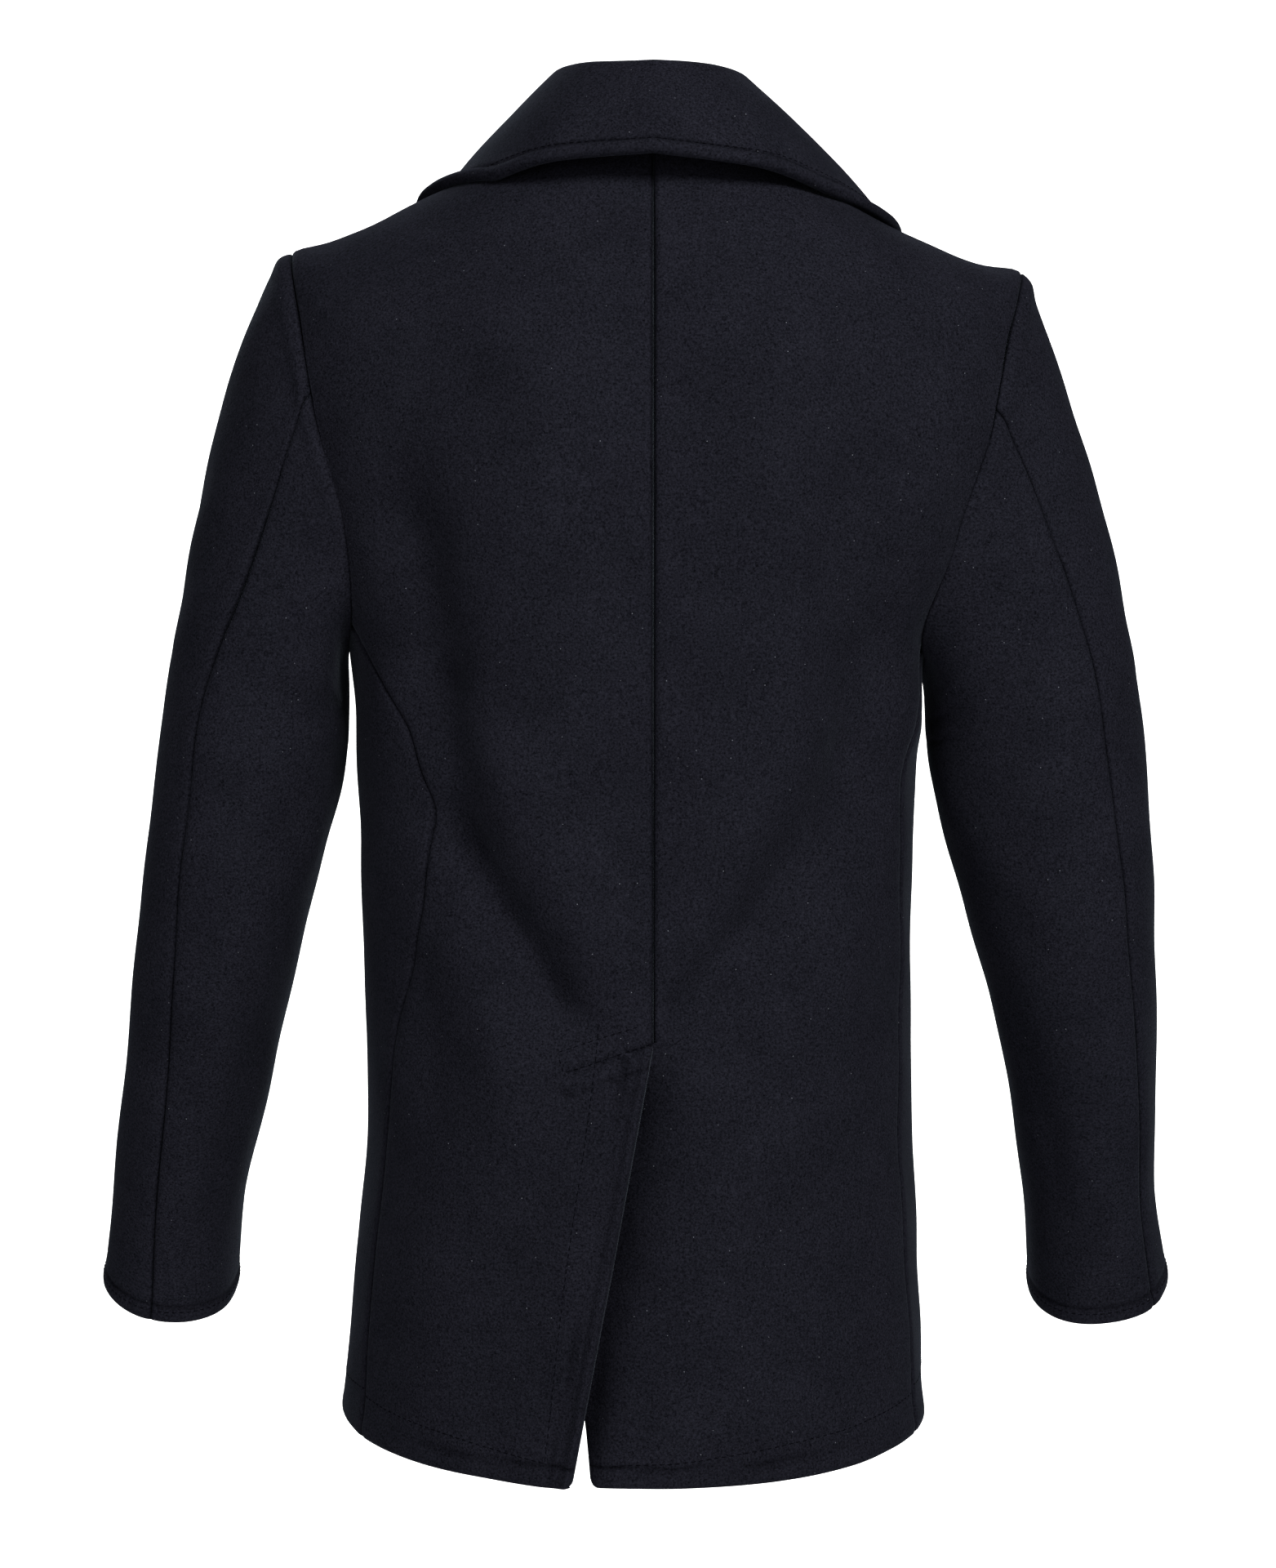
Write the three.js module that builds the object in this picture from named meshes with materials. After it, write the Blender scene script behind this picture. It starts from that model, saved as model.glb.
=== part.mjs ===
// Pea coat, worn on an invisible figure: open at neck, hem and cuffs.
// Millimetres, +Z up, the front faces -Y and +X is the wearer's left.
// The origin lies between the shoulders, in the middle of the neck opening.
import * as THREE from 'three';

// Cloth and gaps
const WALL = 3;
const COLLAR_WALL = 5;
const LAPEL_WALL = 4.5;
const WELT_WALL = 3;
const SEAM_TRIM = 0.16;
const SEAM_GAP = 0.35;
const LAY_GAP = 1.25;
const WELT_GAP = { left: 1.2, right: 1.5 };
const BUTTON_GAP = { left: [0.45, 0.45, 0], right: [0, 0.45, -0.2] };
const SLEEVE_SEAM_GAP = 0.6;
const UNDERARM_GAP = { left: 1.6, right: 3 };
const BEHIND_GAP = -0.4;
const SECTION_POWER = 0.85;

// Levels of the body rows that seams refer to
const ARMPIT_LEVEL = { left: 5, right: 4.85 };
const TIP_LEVEL = 8;
const NECK_LEVEL = 12;

// Armhole, as angles round the body and round the hole
const ARMHOLE_BACK_REACH = 32;
const ARMHOLE_FRONT_REACH = 28;
const SIDE_SEAM_MEETS = 150;
const ELBOW_SEAM_MEETS = 66;
const FRONT_SEAM_MEETS = 235;
const NECK_FRONT_ANGLE = 122;

// Fronts: one laps over the other
const LAP = 88;
const BREAK_Z = -235;
const LAP_SINK_HIGH = 10.5;
const LAP_SINK_LOW = 6.3;

// Back vent
const VENT_TOP_Z = -511;
const VENT_UNDERLAP_TOP = 54;
const VENT_UNDERLAP_HEM = 33;
const VENT_SWING = 47;
const VENT_LIFT = 5;
const VENT_LIFT_REACH = 60;
const VENT_SINK = 3.9;
const VENT_SINK_REACH = 22;
const VENT_EASE = 60;

// Buttons and pocket welts
const BUTTON_RADIUS = 15;
const BUTTON_COLUMN = 62;
const BUTTON_ROWS = [-262, -372, -482];
const WELT_LENGTH = 150;
const WELT_WIDTH = 32;
const WELT_TOP = { x: 112, z: -452 };
const WELT_LEAN = 26;
const WELT_SLANT = 4;

// Lapels, seen from the front
const LAPEL_NOTCH = { x: 101, z: -66 };
const LAPEL_POINT = { x: 143, z: -98 };
const LAPEL_START = 0.03;
const GORGE_INSET = { x: 3, z: -6 };

// Rows and columns of the meshes
const SIDE_ROWS = 13;
const SIDE_SEAM_END = 0.6;
const VENT_ROWS = 8;
const UNDERLAP_COLUMNS = 4;
const BREAK_ROW = 15;
const BACK_NECK_COLUMNS = 5;
const FRONT_NECK_COLUMNS = 3;
const FRONT_EXTRA_COLUMNS = 4;
const SHOULDER_COLUMNS = 6;
const LAPEL_ROWS = 12;
const LAPEL_NOTCH_ROWS = 2;
const LAPEL_COLUMNS = 6;
const WELT_ROWS = 8;
const WELT_COLUMNS = 3;
const CAP_ROWS = 8;
const ARM_ROWS = 12;
const COLLAR_HALF_ROWS = 17;
const COLLAR_FALL_COLUMNS = 6;
const BUTTON_SIDES = 18;

// Sleeve form: where the cap ends, how full it is, and how square its rings are
const CAP_SHARE = 0.4;
const CAP_FULLNESS = 0.55;
const CAP_DROP = 0.95;
const RING_POWER = 0.92;
const ELBOW_DEPTH = 0.45;

function table(columns, rows) {
  return rows.map((row) => Object.fromEntries(columns.map((name, i) => [name, row[i]])));
}

// Loops round the body from the hem up to the neck seam. Heights are at the centre back,
// each side and the centre front; peak says how sharply a loop rises over the shoulder.
const BODY = table(
  ['backZ', 'leftZ', 'rightZ', 'frontZ', 'left', 'right', 'back', 'front', 'peak'],
  [
    [-767, -760, -760, -762, 189, 167, 165, 142, 2],
    [-664, -662, -662, -662, 181, 162, 160, 142, 2],
    [-562, -562, -562, -562, 174, 158, 152, 140, 2],
    [-462, -462, -462, -462, 177, 158, 144, 136, 2],
    [-375, -375, -375, -375, 180, 160, 140, 134, 2],
    [-290, -290, -292, -290, 184, 163, 141, 138, 2],
    [-222, -212, -222, -222, 205, 200, 141, 138, 2],
    [-158, -130, -142, -160, 226, 226, 137, 128, 4],
    [-100, -51, -63, -108, 218, 222, 125, 108, 8],
    [-76, -43, -57, -90, 192, 196, 117, 100, 6],
    [-46, -30, -45, -70, 160, 163, 104, 89, 5],
    [-12, -9, -20, -45, 116, 116, 88, 80, 3],
    [14, 12, 10, -28, 77, 77, 72, 76, 2],
  ],
);

// Side-back seams, from the hem up to where they meet the armhole
const SIDE_SEAM = {
  left: table(['x', 'z'], [
    [176, -760], [168, -664], [161, -590], [156, -527], [145, -474],
    [135, -425], [134, -378], [146, -337], [163, -303],
  ]),
  right: table(['x', 'z'], [
    [158, -760], [153, -664], [149, -590], [148, -527], [148, -474],
    [148, -425], [149, -378], [152, -337], [155, -315],
  ]),
};

// Rings down each arm below the armhole: centre, half width across, half depth front to back
const ARM = {
  left: table(['x', 'y', 'z', 'across', 'deep'], [
    [239, 0, -300, 52, 70],
    [245, 4, -350, 57.5, 67],
    [261, 5, -437, 52, 62],
    [281, -18, -537, 46, 58],
    [301, -45, -637, 41, 53],
    [309, -62, -698, 41.5, 52],
  ]),
  right: table(['x', 'y', 'z', 'across', 'deep'], [
    [232, 0, -312, 62, 70],
    [233.5, 4, -350, 65.5, 67],
    [248.5, 6, -437, 58, 62],
    [265, -14, -537, 47.3, 58],
    [276, -42, -637, 41, 53],
    [284, -60, -698, 43.5, 52],
  ]),
};

// Seam angles round the sleeve: elbow seam at the back, forearm seam at the inner front
const SLEEVE_SEAMS = {
  left: { elbowMid: 47, elbowCuff: 70, forearm: 235 },
  right: { elbowMid: 32, elbowCuff: 40, forearm: 228 },
};
const SLEEVE_REACH_TOP = { left: 50, right: 26 };

// Soft folds: a ridge where high is positive, a trough where it is negative
const FOLDS = table(['face', 'x1', 'z1', 'x2', 'z2', 'width', 'high'], [
  ['back', 140, -215, 126, -290, 17, -5],
  ['back', -140, -235, -122, -378, 16, -5],
  ['back', 126, -380, 66, -492, 24, -4],
  ['back', -116, -380, -28, -492, 24, -4],
  ['back', 106, -462, 98, -470, 22, 4],
  ['back', -106, -462, -104, -470, 22, 4],
  ['back', -6, -560, 16, -640, 20, -5],
  ['back', -14, -640, -12, -745, 18, 3],
  ['back', 78, -90, 72, -110, 40, 3],
  ['front', 128, -300, 70, -400, 24, -4],
  ['front', -126, -310, -64, -410, 24, -4],
]);

// Collar stations from the centre back round to the left front
const COLLAR = table(
  ['baseAngle', 'foldX', 'foldY', 'foldZ', 'edgeX', 'edgeY', 'edgeZ', 'bulge'],
  [
    [0, 0, 64, 57, 0, 104, 3, 4],
    [30, 34, 54, 57, 60, 92, -1, 4],
    [62, 55, 26, 55, 102, 62, -12, 5],
    [90, 62, -8, 46, 138, 14, -27, 5],
    [103, 66, -32, 30, 152, -26, -39, 4],
    [113, 67, -50, 14, 151, -62, -46, 3],
    [122, 66, -62, 2, 146, -96, -58, 0],
  ],
);
const COLLAR_FOLD_RADIUS = 6;
const COLLAR_SIDES = {
  left: { fold: 0.97, edge: 0.95, drop: 0 },
  right: { fold: 0.93, edge: 1, drop: 8 },
};
const COLLAR_BASE_LIFT = 0.6;
const COLLAR_CLEARANCE = COLLAR_WALL / 2 + 1.1;

const CLOTH = new THREE.MeshStandardMaterial({ color: 0x10141c, roughness: 0.95, metalness: 0 });
const UNDERSIDE = new THREE.MeshStandardMaterial({ color: 0x0d1118, roughness: 0.95, metalness: 0 });
const HORN = new THREE.MeshStandardMaterial({ color: 0x08090c, roughness: 0.4, metalness: 0 });

const radians = (degrees) => (degrees * Math.PI) / 180;
const clamp01 = (t) => Math.min(1, Math.max(0, t));
const smooth = (t) => clamp01(t) ** 2 * (3 - 2 * clamp01(t));
const signedPower = (value, power) => Math.sign(value) * Math.abs(value) ** power;

// Slope at a row that never overshoots its neighbours
function softSlope(before, after, hasBoth) {
  if (!hasBoth) return before === 0 ? after : before;
  return before * after > 0 ? (2 * before * after) / (before + after) : 0;
}

// Smooth value of one column at a position counted in rows
function column(rows, name, position) {
  const last = rows.length - 1;
  const i = Math.min(last - 1, Math.max(0, Math.floor(position)));
  const t = position - i;
  const at = (k) => rows[Math.min(last, Math.max(0, k))][name];
  const slopeA = softSlope(at(i) - at(i - 1), at(i + 1) - at(i), i > 0);
  const slopeB = softSlope(at(i + 1) - at(i), at(i + 2) - at(i + 1), i + 2 <= last);
  const t2 = t * t;
  const t3 = t2 * t;
  return (
    (2 * t3 - 3 * t2 + 1) * at(i) +
    (t3 - 2 * t2 + t) * slopeA +
    (3 * t2 - 2 * t3) * at(i + 1) +
    (t3 - t2) * slopeB
  );
}

// A point of the body's surface: angle 0 is the centre back, 90 degrees the wearer's left
function bodyPoint(angle, level) {
  const sine = Math.sin(angle);
  const cosine = Math.cos(angle);
  const half = column(BODY, sine >= 0 ? 'left' : 'right', level);
  const depth = column(BODY, cosine >= 0 ? 'back' : 'front', level);
  const sideZ = column(BODY, sine >= 0 ? 'leftZ' : 'rightZ', level);
  const middleZ = column(BODY, cosine >= 0 ? 'backZ' : 'frontZ', level);
  const rise = Math.abs(sine) ** column(BODY, 'peak', level);
  return new THREE.Vector3(
    half * signedPower(sine, SECTION_POWER),
    depth * signedPower(cosine, SECTION_POWER),
    middleZ + (sideZ - middleZ) * rise,
  );
}

function bodyNormal(angle, level) {
  const step = 0.01;
  const low = Math.max(0, level - step);
  const high = Math.min(NECK_LEVEL, level + step);
  const round = bodyPoint(angle + step, level).sub(bodyPoint(angle - step, level));
  const up = bodyPoint(angle, high).sub(bodyPoint(angle, low));
  return up.cross(round).normalize();
}

function foldHeight(point) {
  let height = 0;
  for (const fold of FOLDS) {
    if ((fold.face === 'back') !== (point.y >= 0)) continue;
    const dx = fold.x2 - fold.x1;
    const dz = fold.z2 - fold.z1;
    const along = clamp01(((point.x - fold.x1) * dx + (point.z - fold.z1) * dz) / (dx * dx + dz * dz));
    const away = Math.hypot(point.x - fold.x1 - dx * along, point.z - fold.z1 - dz * along);
    height += fold.high * Math.exp(-((away / fold.width) ** 2));
  }
  return height;
}

// Surface sample with its outward direction, moved out by some distance
function onBody(angle, level, out = 0) {
  const point = bodyPoint(angle, level);
  const normal = bodyNormal(angle, level);
  return { point: point.addScaledVector(normal, out + foldHeight(point)), normal };
}

// The angle and level of the body point seen at x, z on the back or on the front
function locate(x, z, face) {
  let low = 0;
  let high = NECK_LEVEL;
  let angle = 0;
  for (let step = 0; step < 40; step += 1) {
    const level = (low + high) / 2;
    const half = column(BODY, x >= 0 ? 'left' : 'right', level);
    const lean = Math.asin(Math.min(1, Math.abs(x) / half) ** (1 / SECTION_POWER));
    angle = Math.sign(x) * (face === 'back' ? lean : Math.PI - lean);
    if (x === 0) angle = face === 'back' ? 0 : Math.PI;
    if (bodyPoint(angle, level).z < z) low = level;
    else high = level;
  }
  return { angle, level: (low + high) / 2 };
}

// A closed wall over a grid of samples. Cells that keep() refuses are left out.
function wallGeometry(grid, thickness, keep = () => true) {
  const rows = grid.length;
  const columns = grid[0].length;
  const positions = [];
  for (const inner of [0, 1]) {
    for (const row of grid) {
      for (const sample of row) {
        const p = sample.point.clone().addScaledVector(sample.normal, -inner * thickness);
        positions.push(p.x, p.y, p.z);
      }
    }
  }
  const id = (j, i, inner) => (inner * rows + j) * columns + i;
  const middle = grid[rows >> 1][columns >> 1];
  const across = grid[rows >> 1][(columns >> 1) - 1].point.clone().sub(middle.point);
  const along = grid[(rows >> 1) - 1][columns >> 1].point.clone().sub(middle.point);
  const outward = across.cross(along).dot(middle.normal) > 0;
  const faces = [];
  const quad = (a, b, c, d) => {
    if (outward) faces.push(a, b, c, a, c, d);
    else faces.push(a, c, b, a, d, c);
  };
  const used = (j, i) => j >= 0 && i >= 0 && j < rows - 1 && i < columns - 1 && keep(j, i);
  for (let j = 0; j < rows - 1; j += 1) {
    for (let i = 0; i < columns - 1; i += 1) {
      if (!used(j, i)) continue;
      quad(id(j, i, 0), id(j, i + 1, 0), id(j + 1, i + 1, 0), id(j + 1, i, 0));
      quad(id(j, i, 1), id(j + 1, i, 1), id(j + 1, i + 1, 1), id(j, i + 1, 1));
      if (!used(j - 1, i)) quad(id(j, i, 1), id(j, i + 1, 1), id(j, i + 1, 0), id(j, i, 0));
      if (!used(j + 1, i)) quad(id(j + 1, i, 0), id(j + 1, i + 1, 0), id(j + 1, i + 1, 1), id(j + 1, i, 1));
      if (!used(j, i - 1)) quad(id(j, i, 0), id(j + 1, i, 0), id(j + 1, i, 1), id(j, i, 1));
      if (!used(j, i + 1)) quad(id(j, i + 1, 1), id(j + 1, i + 1, 1), id(j + 1, i + 1, 0), id(j, i + 1, 0));
    }
  }
  const places = new Map();
  const kept = [];
  const index = faces.map((vertex) => {
    if (!places.has(vertex)) {
      places.set(vertex, kept.length / 3);
      kept.push(...positions.slice(vertex * 3, vertex * 3 + 3));
    }
    return places.get(vertex);
  });
  const geometry = new THREE.BufferGeometry();
  geometry.setAttribute('position', new THREE.Float32BufferAttribute(kept, 3));
  geometry.setIndex(index);
  geometry.computeVertexNormals();
  return geometry;
}

// Draws the border of a grid in, so that pieces joined by a seam stay a little apart
function trim(grid, distance = SEAM_TRIM) {
  const rows = grid.length - 1;
  const columns = grid[0].length - 1;
  const pull = (sample, neighbour) => {
    const step = neighbour.point.clone().sub(sample.point);
    return step.setLength(Math.min(distance * 1.3, step.length() * 0.3));
  };
  const moves = [];
  for (let j = 0; j <= rows; j += 1) {
    for (let i = 0; i <= columns; i += 1) {
      const move = new THREE.Vector3();
      if (j === 0) move.add(pull(grid[j][i], grid[1][i]));
      if (j === rows) move.add(pull(grid[j][i], grid[rows - 1][i]));
      if (i === 0) move.add(pull(grid[j][i], grid[j][1]));
      if (i === columns) move.add(pull(grid[j][i], grid[j][columns - 1]));
      moves.push(move);
    }
  }
  grid.forEach((row, j) => row.forEach((sample, i) => sample.point.add(moves[j * (columns + 1) + i])));
  return grid;
}

const steps = (from, to, count) =>
  Array.from({ length: count }, (_, k) => from + ((to - from) * (k + 1)) / count);

// Blends four border lines of surface places into a grid of places
function fill(bottom, top, start, end) {
  const columns = bottom.length - 1;
  const rows = start.length - 1;
  const mix = (name, j, i) => {
    const u = i / columns;
    const v = j / rows;
    const ruled = (1 - v) * bottom[i][name] + v * top[i][name];
    const crossed = (1 - u) * start[j][name] + u * end[j][name];
    const corners =
      (1 - v) * ((1 - u) * bottom[0][name] + u * bottom[columns][name]) +
      v * ((1 - u) * top[0][name] + u * top[columns][name]);
    return ruled + crossed - corners;
  };
  return start.map((_, j) => bottom.map((__, i) => ({ angle: mix('angle', j, i), level: mix('level', j, i) })));
}

const ARMHOLE_BACK = [...steps(SIDE_SEAM_MEETS, ELBOW_SEAM_MEETS, 6), ...steps(ELBOW_SEAM_MEETS, 0, 5)];
const ARMHOLE_FRONT = [...steps(SIDE_SEAM_MEETS, FRONT_SEAM_MEETS, 6), ...steps(FRONT_SEAM_MEETS, 360, 9)];

const sign = (side) => (side === 'left' ? 1 : -1);

// Place on the body of a turn round the armhole: 0 is the shoulder tip, 90 the back, 180 the armpit
function armholePlace(side, turn) {
  const t = radians(turn);
  const reach = Math.sin(t) > 0 ? ARMHOLE_BACK_REACH : ARMHOLE_FRONT_REACH;
  const middle = (TIP_LEVEL + ARMPIT_LEVEL[side]) / 2;
  const half = (TIP_LEVEL - ARMPIT_LEVEL[side]) / 2;
  return {
    angle: sign(side) * radians(90 - reach * Math.sin(t)),
    level: middle + half * Math.cos(t),
  };
}

// The side-back seam and then the armhole, as places on the body
function sideLine(side, armholeTurns) {
  const rows = SIDE_SEAM[side];
  const meets = armholePlace(side, SIDE_SEAM_MEETS);
  const line = [];
  for (let j = 0; j < SIDE_ROWS; j += 1) {
    const position = (j / SIDE_ROWS) * (rows.length - 1 + SIDE_SEAM_END);
    const capped = Math.min(rows.length - 1, position);
    const place = locate(sign(side) * column(rows, 'x', capped), column(rows, 'z', capped), 'back');
    const lateness = smooth((position - (rows.length - 1)) / SIDE_SEAM_END);
    line.push({
      angle: place.angle + (meets.angle - place.angle) * lateness,
      level: place.level + (meets.level - place.level) * lateness,
    });
  }
  line.push(meets);
  for (const turn of armholeTurns) line.push(armholePlace(side, turn));
  return line;
}

// Shoulder seam from the tip to the neck, then round the neck to an angle
function topLine(side, neckAngle, neckColumns) {
  const s = sign(side);
  const shoulder = [{ angle: s * radians(90), level: TIP_LEVEL }];
  for (const level of steps(TIP_LEVEL, NECK_LEVEL, SHOULDER_COLUMNS)) {
    shoulder.push({ angle: s * radians(90), level });
  }
  for (const angle of steps(90, neckAngle, neckColumns)) {
    shoulder.push({ angle: s * radians(angle), level: NECK_LEVEL });
  }
  return shoulder;
}

function levelLine(from, to, count) {
  return Array.from({ length: count + 1 }, (_, k) => ({
    angle: from.angle + ((to.angle - from.angle) * k) / count,
    level: from.level + ((to.level - from.level) * k) / count,
  }));
}

// How far the left back's vent edge has swung to the side at a height
const ventSwing = (z) => VENT_SWING * clamp01((VENT_TOP_Z - z) / (VENT_TOP_Z - BODY[0].backZ));

// Centre back line from the hem to the neck, with one row at the top of the vent
function backCentre(rows, edge) {
  const line = [];
  for (let j = 0; j <= rows; j += 1) {
    const z = j <= VENT_ROWS
      ? BODY[0].backZ + ((VENT_TOP_Z - BODY[0].backZ) * j) / VENT_ROWS
      : VENT_TOP_Z + ((BODY[NECK_LEVEL].backZ - VENT_TOP_Z) * (j - VENT_ROWS)) / (rows - VENT_ROWS);
    line.push(locate(edge(z), z, 'back'));
  }
  line[rows] = { angle: 0, level: NECK_LEVEL };
  return line;
}

// Width of the underlap at a height: narrower towards the hem
function underlapReach(z) {
  const share = clamp01((z - BODY[0].backZ) / (VENT_TOP_Z - BODY[0].backZ));
  return VENT_UNDERLAP_HEM + (VENT_UNDERLAP_TOP - VENT_UNDERLAP_HEM) * share;
}

// How far a back panel stands out beside the vent, where the left one lies over the right one
function ventOut(isLeft, point) {
  const low = smooth((VENT_TOP_Z + LAY_GAP - point.z) / VENT_EASE);
  if (isLeft) return VENT_LIFT * low * smooth(1 - (point.x - ventSwing(point.z)) / VENT_LIFT_REACH);
  return -VENT_SINK * low * smooth(1 + point.x / VENT_SINK_REACH);
}

function backPanel(side) {
  const end = sideLine(side, ARMHOLE_BACK);
  const rows = end.length - 1;
  const isLeft = side === 'left';
  const start = backCentre(rows, (z) => (isLeft ? ventSwing(z) : 0));
  const top = topLine(side, 0, BACK_NECK_COLUMNS).reverse();
  const bottom = levelLine(start[0], end[0], top.length - 1);
  const places = fill(bottom, top, start, end);
  const grid = trim(places.map((row) => row.map(({ angle, level }) => (
    onBody(angle, level, ventOut(isLeft, bodyPoint(angle, level)))
  ))));
  return isLeft ? wallGeometry(grid, WALL) : withUnderlap(grid);
}

// Adds the strip of the right back that passes under the left one, below the top of the vent
function withUnderlap(grid) {
  const sunkAt = (x, z) => {
    const place = locate(x, z, 'back');
    return onBody(place.angle, place.level, -VENT_SINK);
  };
  const joined = grid.map((row) => {
    const z = Math.min(row[0].point.z, BODY[NECK_LEVEL].backZ);
    const strip = [];
    for (let k = UNDERLAP_COLUMNS; k >= 1; k -= 1) {
      strip.push(sunkAt((underlapReach(z) * k) / UNDERLAP_COLUMNS, z));
    }
    return [...strip, ...row];
  });
  for (const row of joined.slice(0, VENT_ROWS + 1)) {
    const sample = sunkAt(0, row[UNDERLAP_COLUMNS].point.z);
    sample.point.x -= SEAM_TRIM;
    row[UNDERLAP_COLUMNS] = sample;
  }
  return wallGeometry(joined, WALL, (j, i) => i >= UNDERLAP_COLUMNS || j < VENT_ROWS);
}

// How far the right front sinks to pass under the left one
function lapSink(x, z) {
  const amount = LAP_SINK_LOW + (LAP_SINK_HIGH - LAP_SINK_LOW) * smooth((z + 330) / 90);
  return amount * smooth((x + 150) / 95);
}

function frontSample(side, place, out = 0) {
  const flat = bodyPoint(place.angle, place.level);
  const sunk = side === 'right' && flat.y < 0 ? lapSink(flat.x, flat.z) : 0;
  return onBody(place.angle, place.level, out - sunk);
}

// End of the roll line at the neck, as seen from the front
const rollTop = () => bodyPoint(radians(NECK_FRONT_ANGLE), NECK_LEVEL);

// Front edge from the hem to the break, then the roll line up to the neck
function frontEdge(side, rows) {
  const s = sign(side);
  const top = rollTop();
  const line = [];
  const hemZ = BODY[0].frontZ;
  for (let j = 0; j <= rows; j += 1) {
    const low = j <= BREAK_ROW;
    const t = low ? j / BREAK_ROW : (j - BREAK_ROW) / (rows - BREAK_ROW);
    const x = low ? -LAP : -LAP + (top.x + LAP) * t;
    const z = low ? hemZ + (BREAK_Z - hemZ) * t : BREAK_Z + (top.z - BREAK_Z) * t;
    const place = locate(s * x, z, 'front');
    line.push(unwrap(place, s));
  }
  line[rows] = { angle: s * radians(NECK_FRONT_ANGLE), level: NECK_LEVEL };
  return line;
}

// Keeps front angles on one side of the half turn, so that they can be blended
function unwrap(place, s) {
  const angle = s * place.angle < 0 ? place.angle + s * 2 * Math.PI : place.angle;
  return { angle, level: place.level };
}

function frontPanel(side) {
  const end = sideLine(side, ARMHOLE_FRONT);
  const rows = end.length - 1;
  const start = frontEdge(side, rows);
  const top = topLine(side, NECK_FRONT_ANGLE, FRONT_NECK_COLUMNS).reverse();
  const wide = [];
  top.forEach((place, i) => {
    wide.push(place);
    if (i >= FRONT_NECK_COLUMNS && i < FRONT_NECK_COLUMNS + FRONT_EXTRA_COLUMNS) {
      const next = top[i + 1];
      wide.push({ angle: (place.angle + next.angle) / 2, level: (place.level + next.level) / 2 });
    }
  });
  const bottom = levelLine(start[0], end[0], wide.length - 1);
  const grid = fill(bottom, wide, start, end).map((row) => row.map((place) => frontSample(side, place)));
  trim(grid);
  return wallGeometry(grid, WALL);
}

// A piece that lies on a front, as a grid between two lines of x, z points seen from the front
function layOnFront(side, lineA, lineB, columns, thickness, gap = LAY_GAP) {
  const s = sign(side);
  const grid = lineA.map((a, j) => {
    const b = lineB[j];
    return Array.from({ length: columns + 1 }, (_, i) => {
      const t = i / columns;
      const place = unwrap(locate(s * (a.x + (b.x - a.x) * t), a.z + (b.z - a.z) * t, 'front'), s);
      return frontSample(side, place, gap + thickness);
    });
  });
  return wallGeometry(grid, thickness);
}

const between = (a, b, t) => ({ x: a.x + (b.x - a.x) * t, z: a.z + (b.z - a.z) * t });

// The lapel between its roll line and its outer edge, which ends in the point and the notch
function lapel(side) {
  const top = rollTop();
  const breakPoint = { x: -LAP, z: BREAK_Z };
  const gorge = { x: top.x + GORGE_INSET.x, z: top.z + GORGE_INSET.z };
  const pointRow = LAPEL_ROWS - LAPEL_NOTCH_ROWS;
  const along = (share) => LAPEL_START + (1 - LAPEL_START) * Math.min(1, share);
  const roll = [];
  const outer = [];
  for (let j = 0; j <= LAPEL_ROWS; j += 1) {
    roll.push(between(breakPoint, gorge, along(j / LAPEL_ROWS)));
    const rise = between(breakPoint, LAPEL_POINT, along(j / pointRow));
    outer.push(between(rise, LAPEL_NOTCH, Math.max(0, (j - pointRow) / LAPEL_NOTCH_ROWS)));
  }
  return layOnFront(side, roll, outer, LAPEL_COLUMNS, LAPEL_WALL);
}

function pocketWelt(side) {
  const lineA = [];
  const lineB = [];
  for (let j = 0; j <= WELT_ROWS; j += 1) {
    const t = j / WELT_ROWS;
    const x = WELT_TOP.x + WELT_LEAN * t;
    const z = WELT_TOP.z - WELT_LENGTH * t;
    lineA.push({ x: x - WELT_WIDTH / 2, z: z - WELT_SLANT });
    lineB.push({ x: x + WELT_WIDTH / 2, z: z + WELT_SLANT });
  }
  return layOnFront(side, lineA, lineB, WELT_COLUMNS, WELT_WALL, WELT_GAP[side]);
}

function sleeveAxis(side, position) {
  const rows = ARM[side];
  const read = (name) => column(rows, name, position);
  const centre = new THREE.Vector3(sign(side) * read('x'), read('y'), read('z'));
  return { centre, across: read('across'), deep: read('deep') };
}

function armRing(side, turn, position) {
  const step = 0.02;
  const last = ARM[side].length - 1;
  const here = sleeveAxis(side, position);
  const before = sleeveAxis(side, Math.max(0, position - step)).centre;
  const after = sleeveAxis(side, Math.min(last, position + step)).centre;
  const down = after.sub(before).normalize();
  const wanted = new THREE.Vector3(sign(side), 0, 0);
  const outward = wanted.addScaledVector(down, -wanted.dot(down)).normalize();
  const backward = new THREE.Vector3().crossVectors(outward, down).multiplyScalar(-sign(side));
  if (backward.y < 0) backward.negate();
  const t = radians(turn);
  const point = here.centre
    .addScaledVector(outward, here.across * signedPower(Math.cos(t), RING_POWER))
    .addScaledVector(backward, here.deep * signedPower(Math.sin(t), RING_POWER));
  return { point, down };
}

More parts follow.
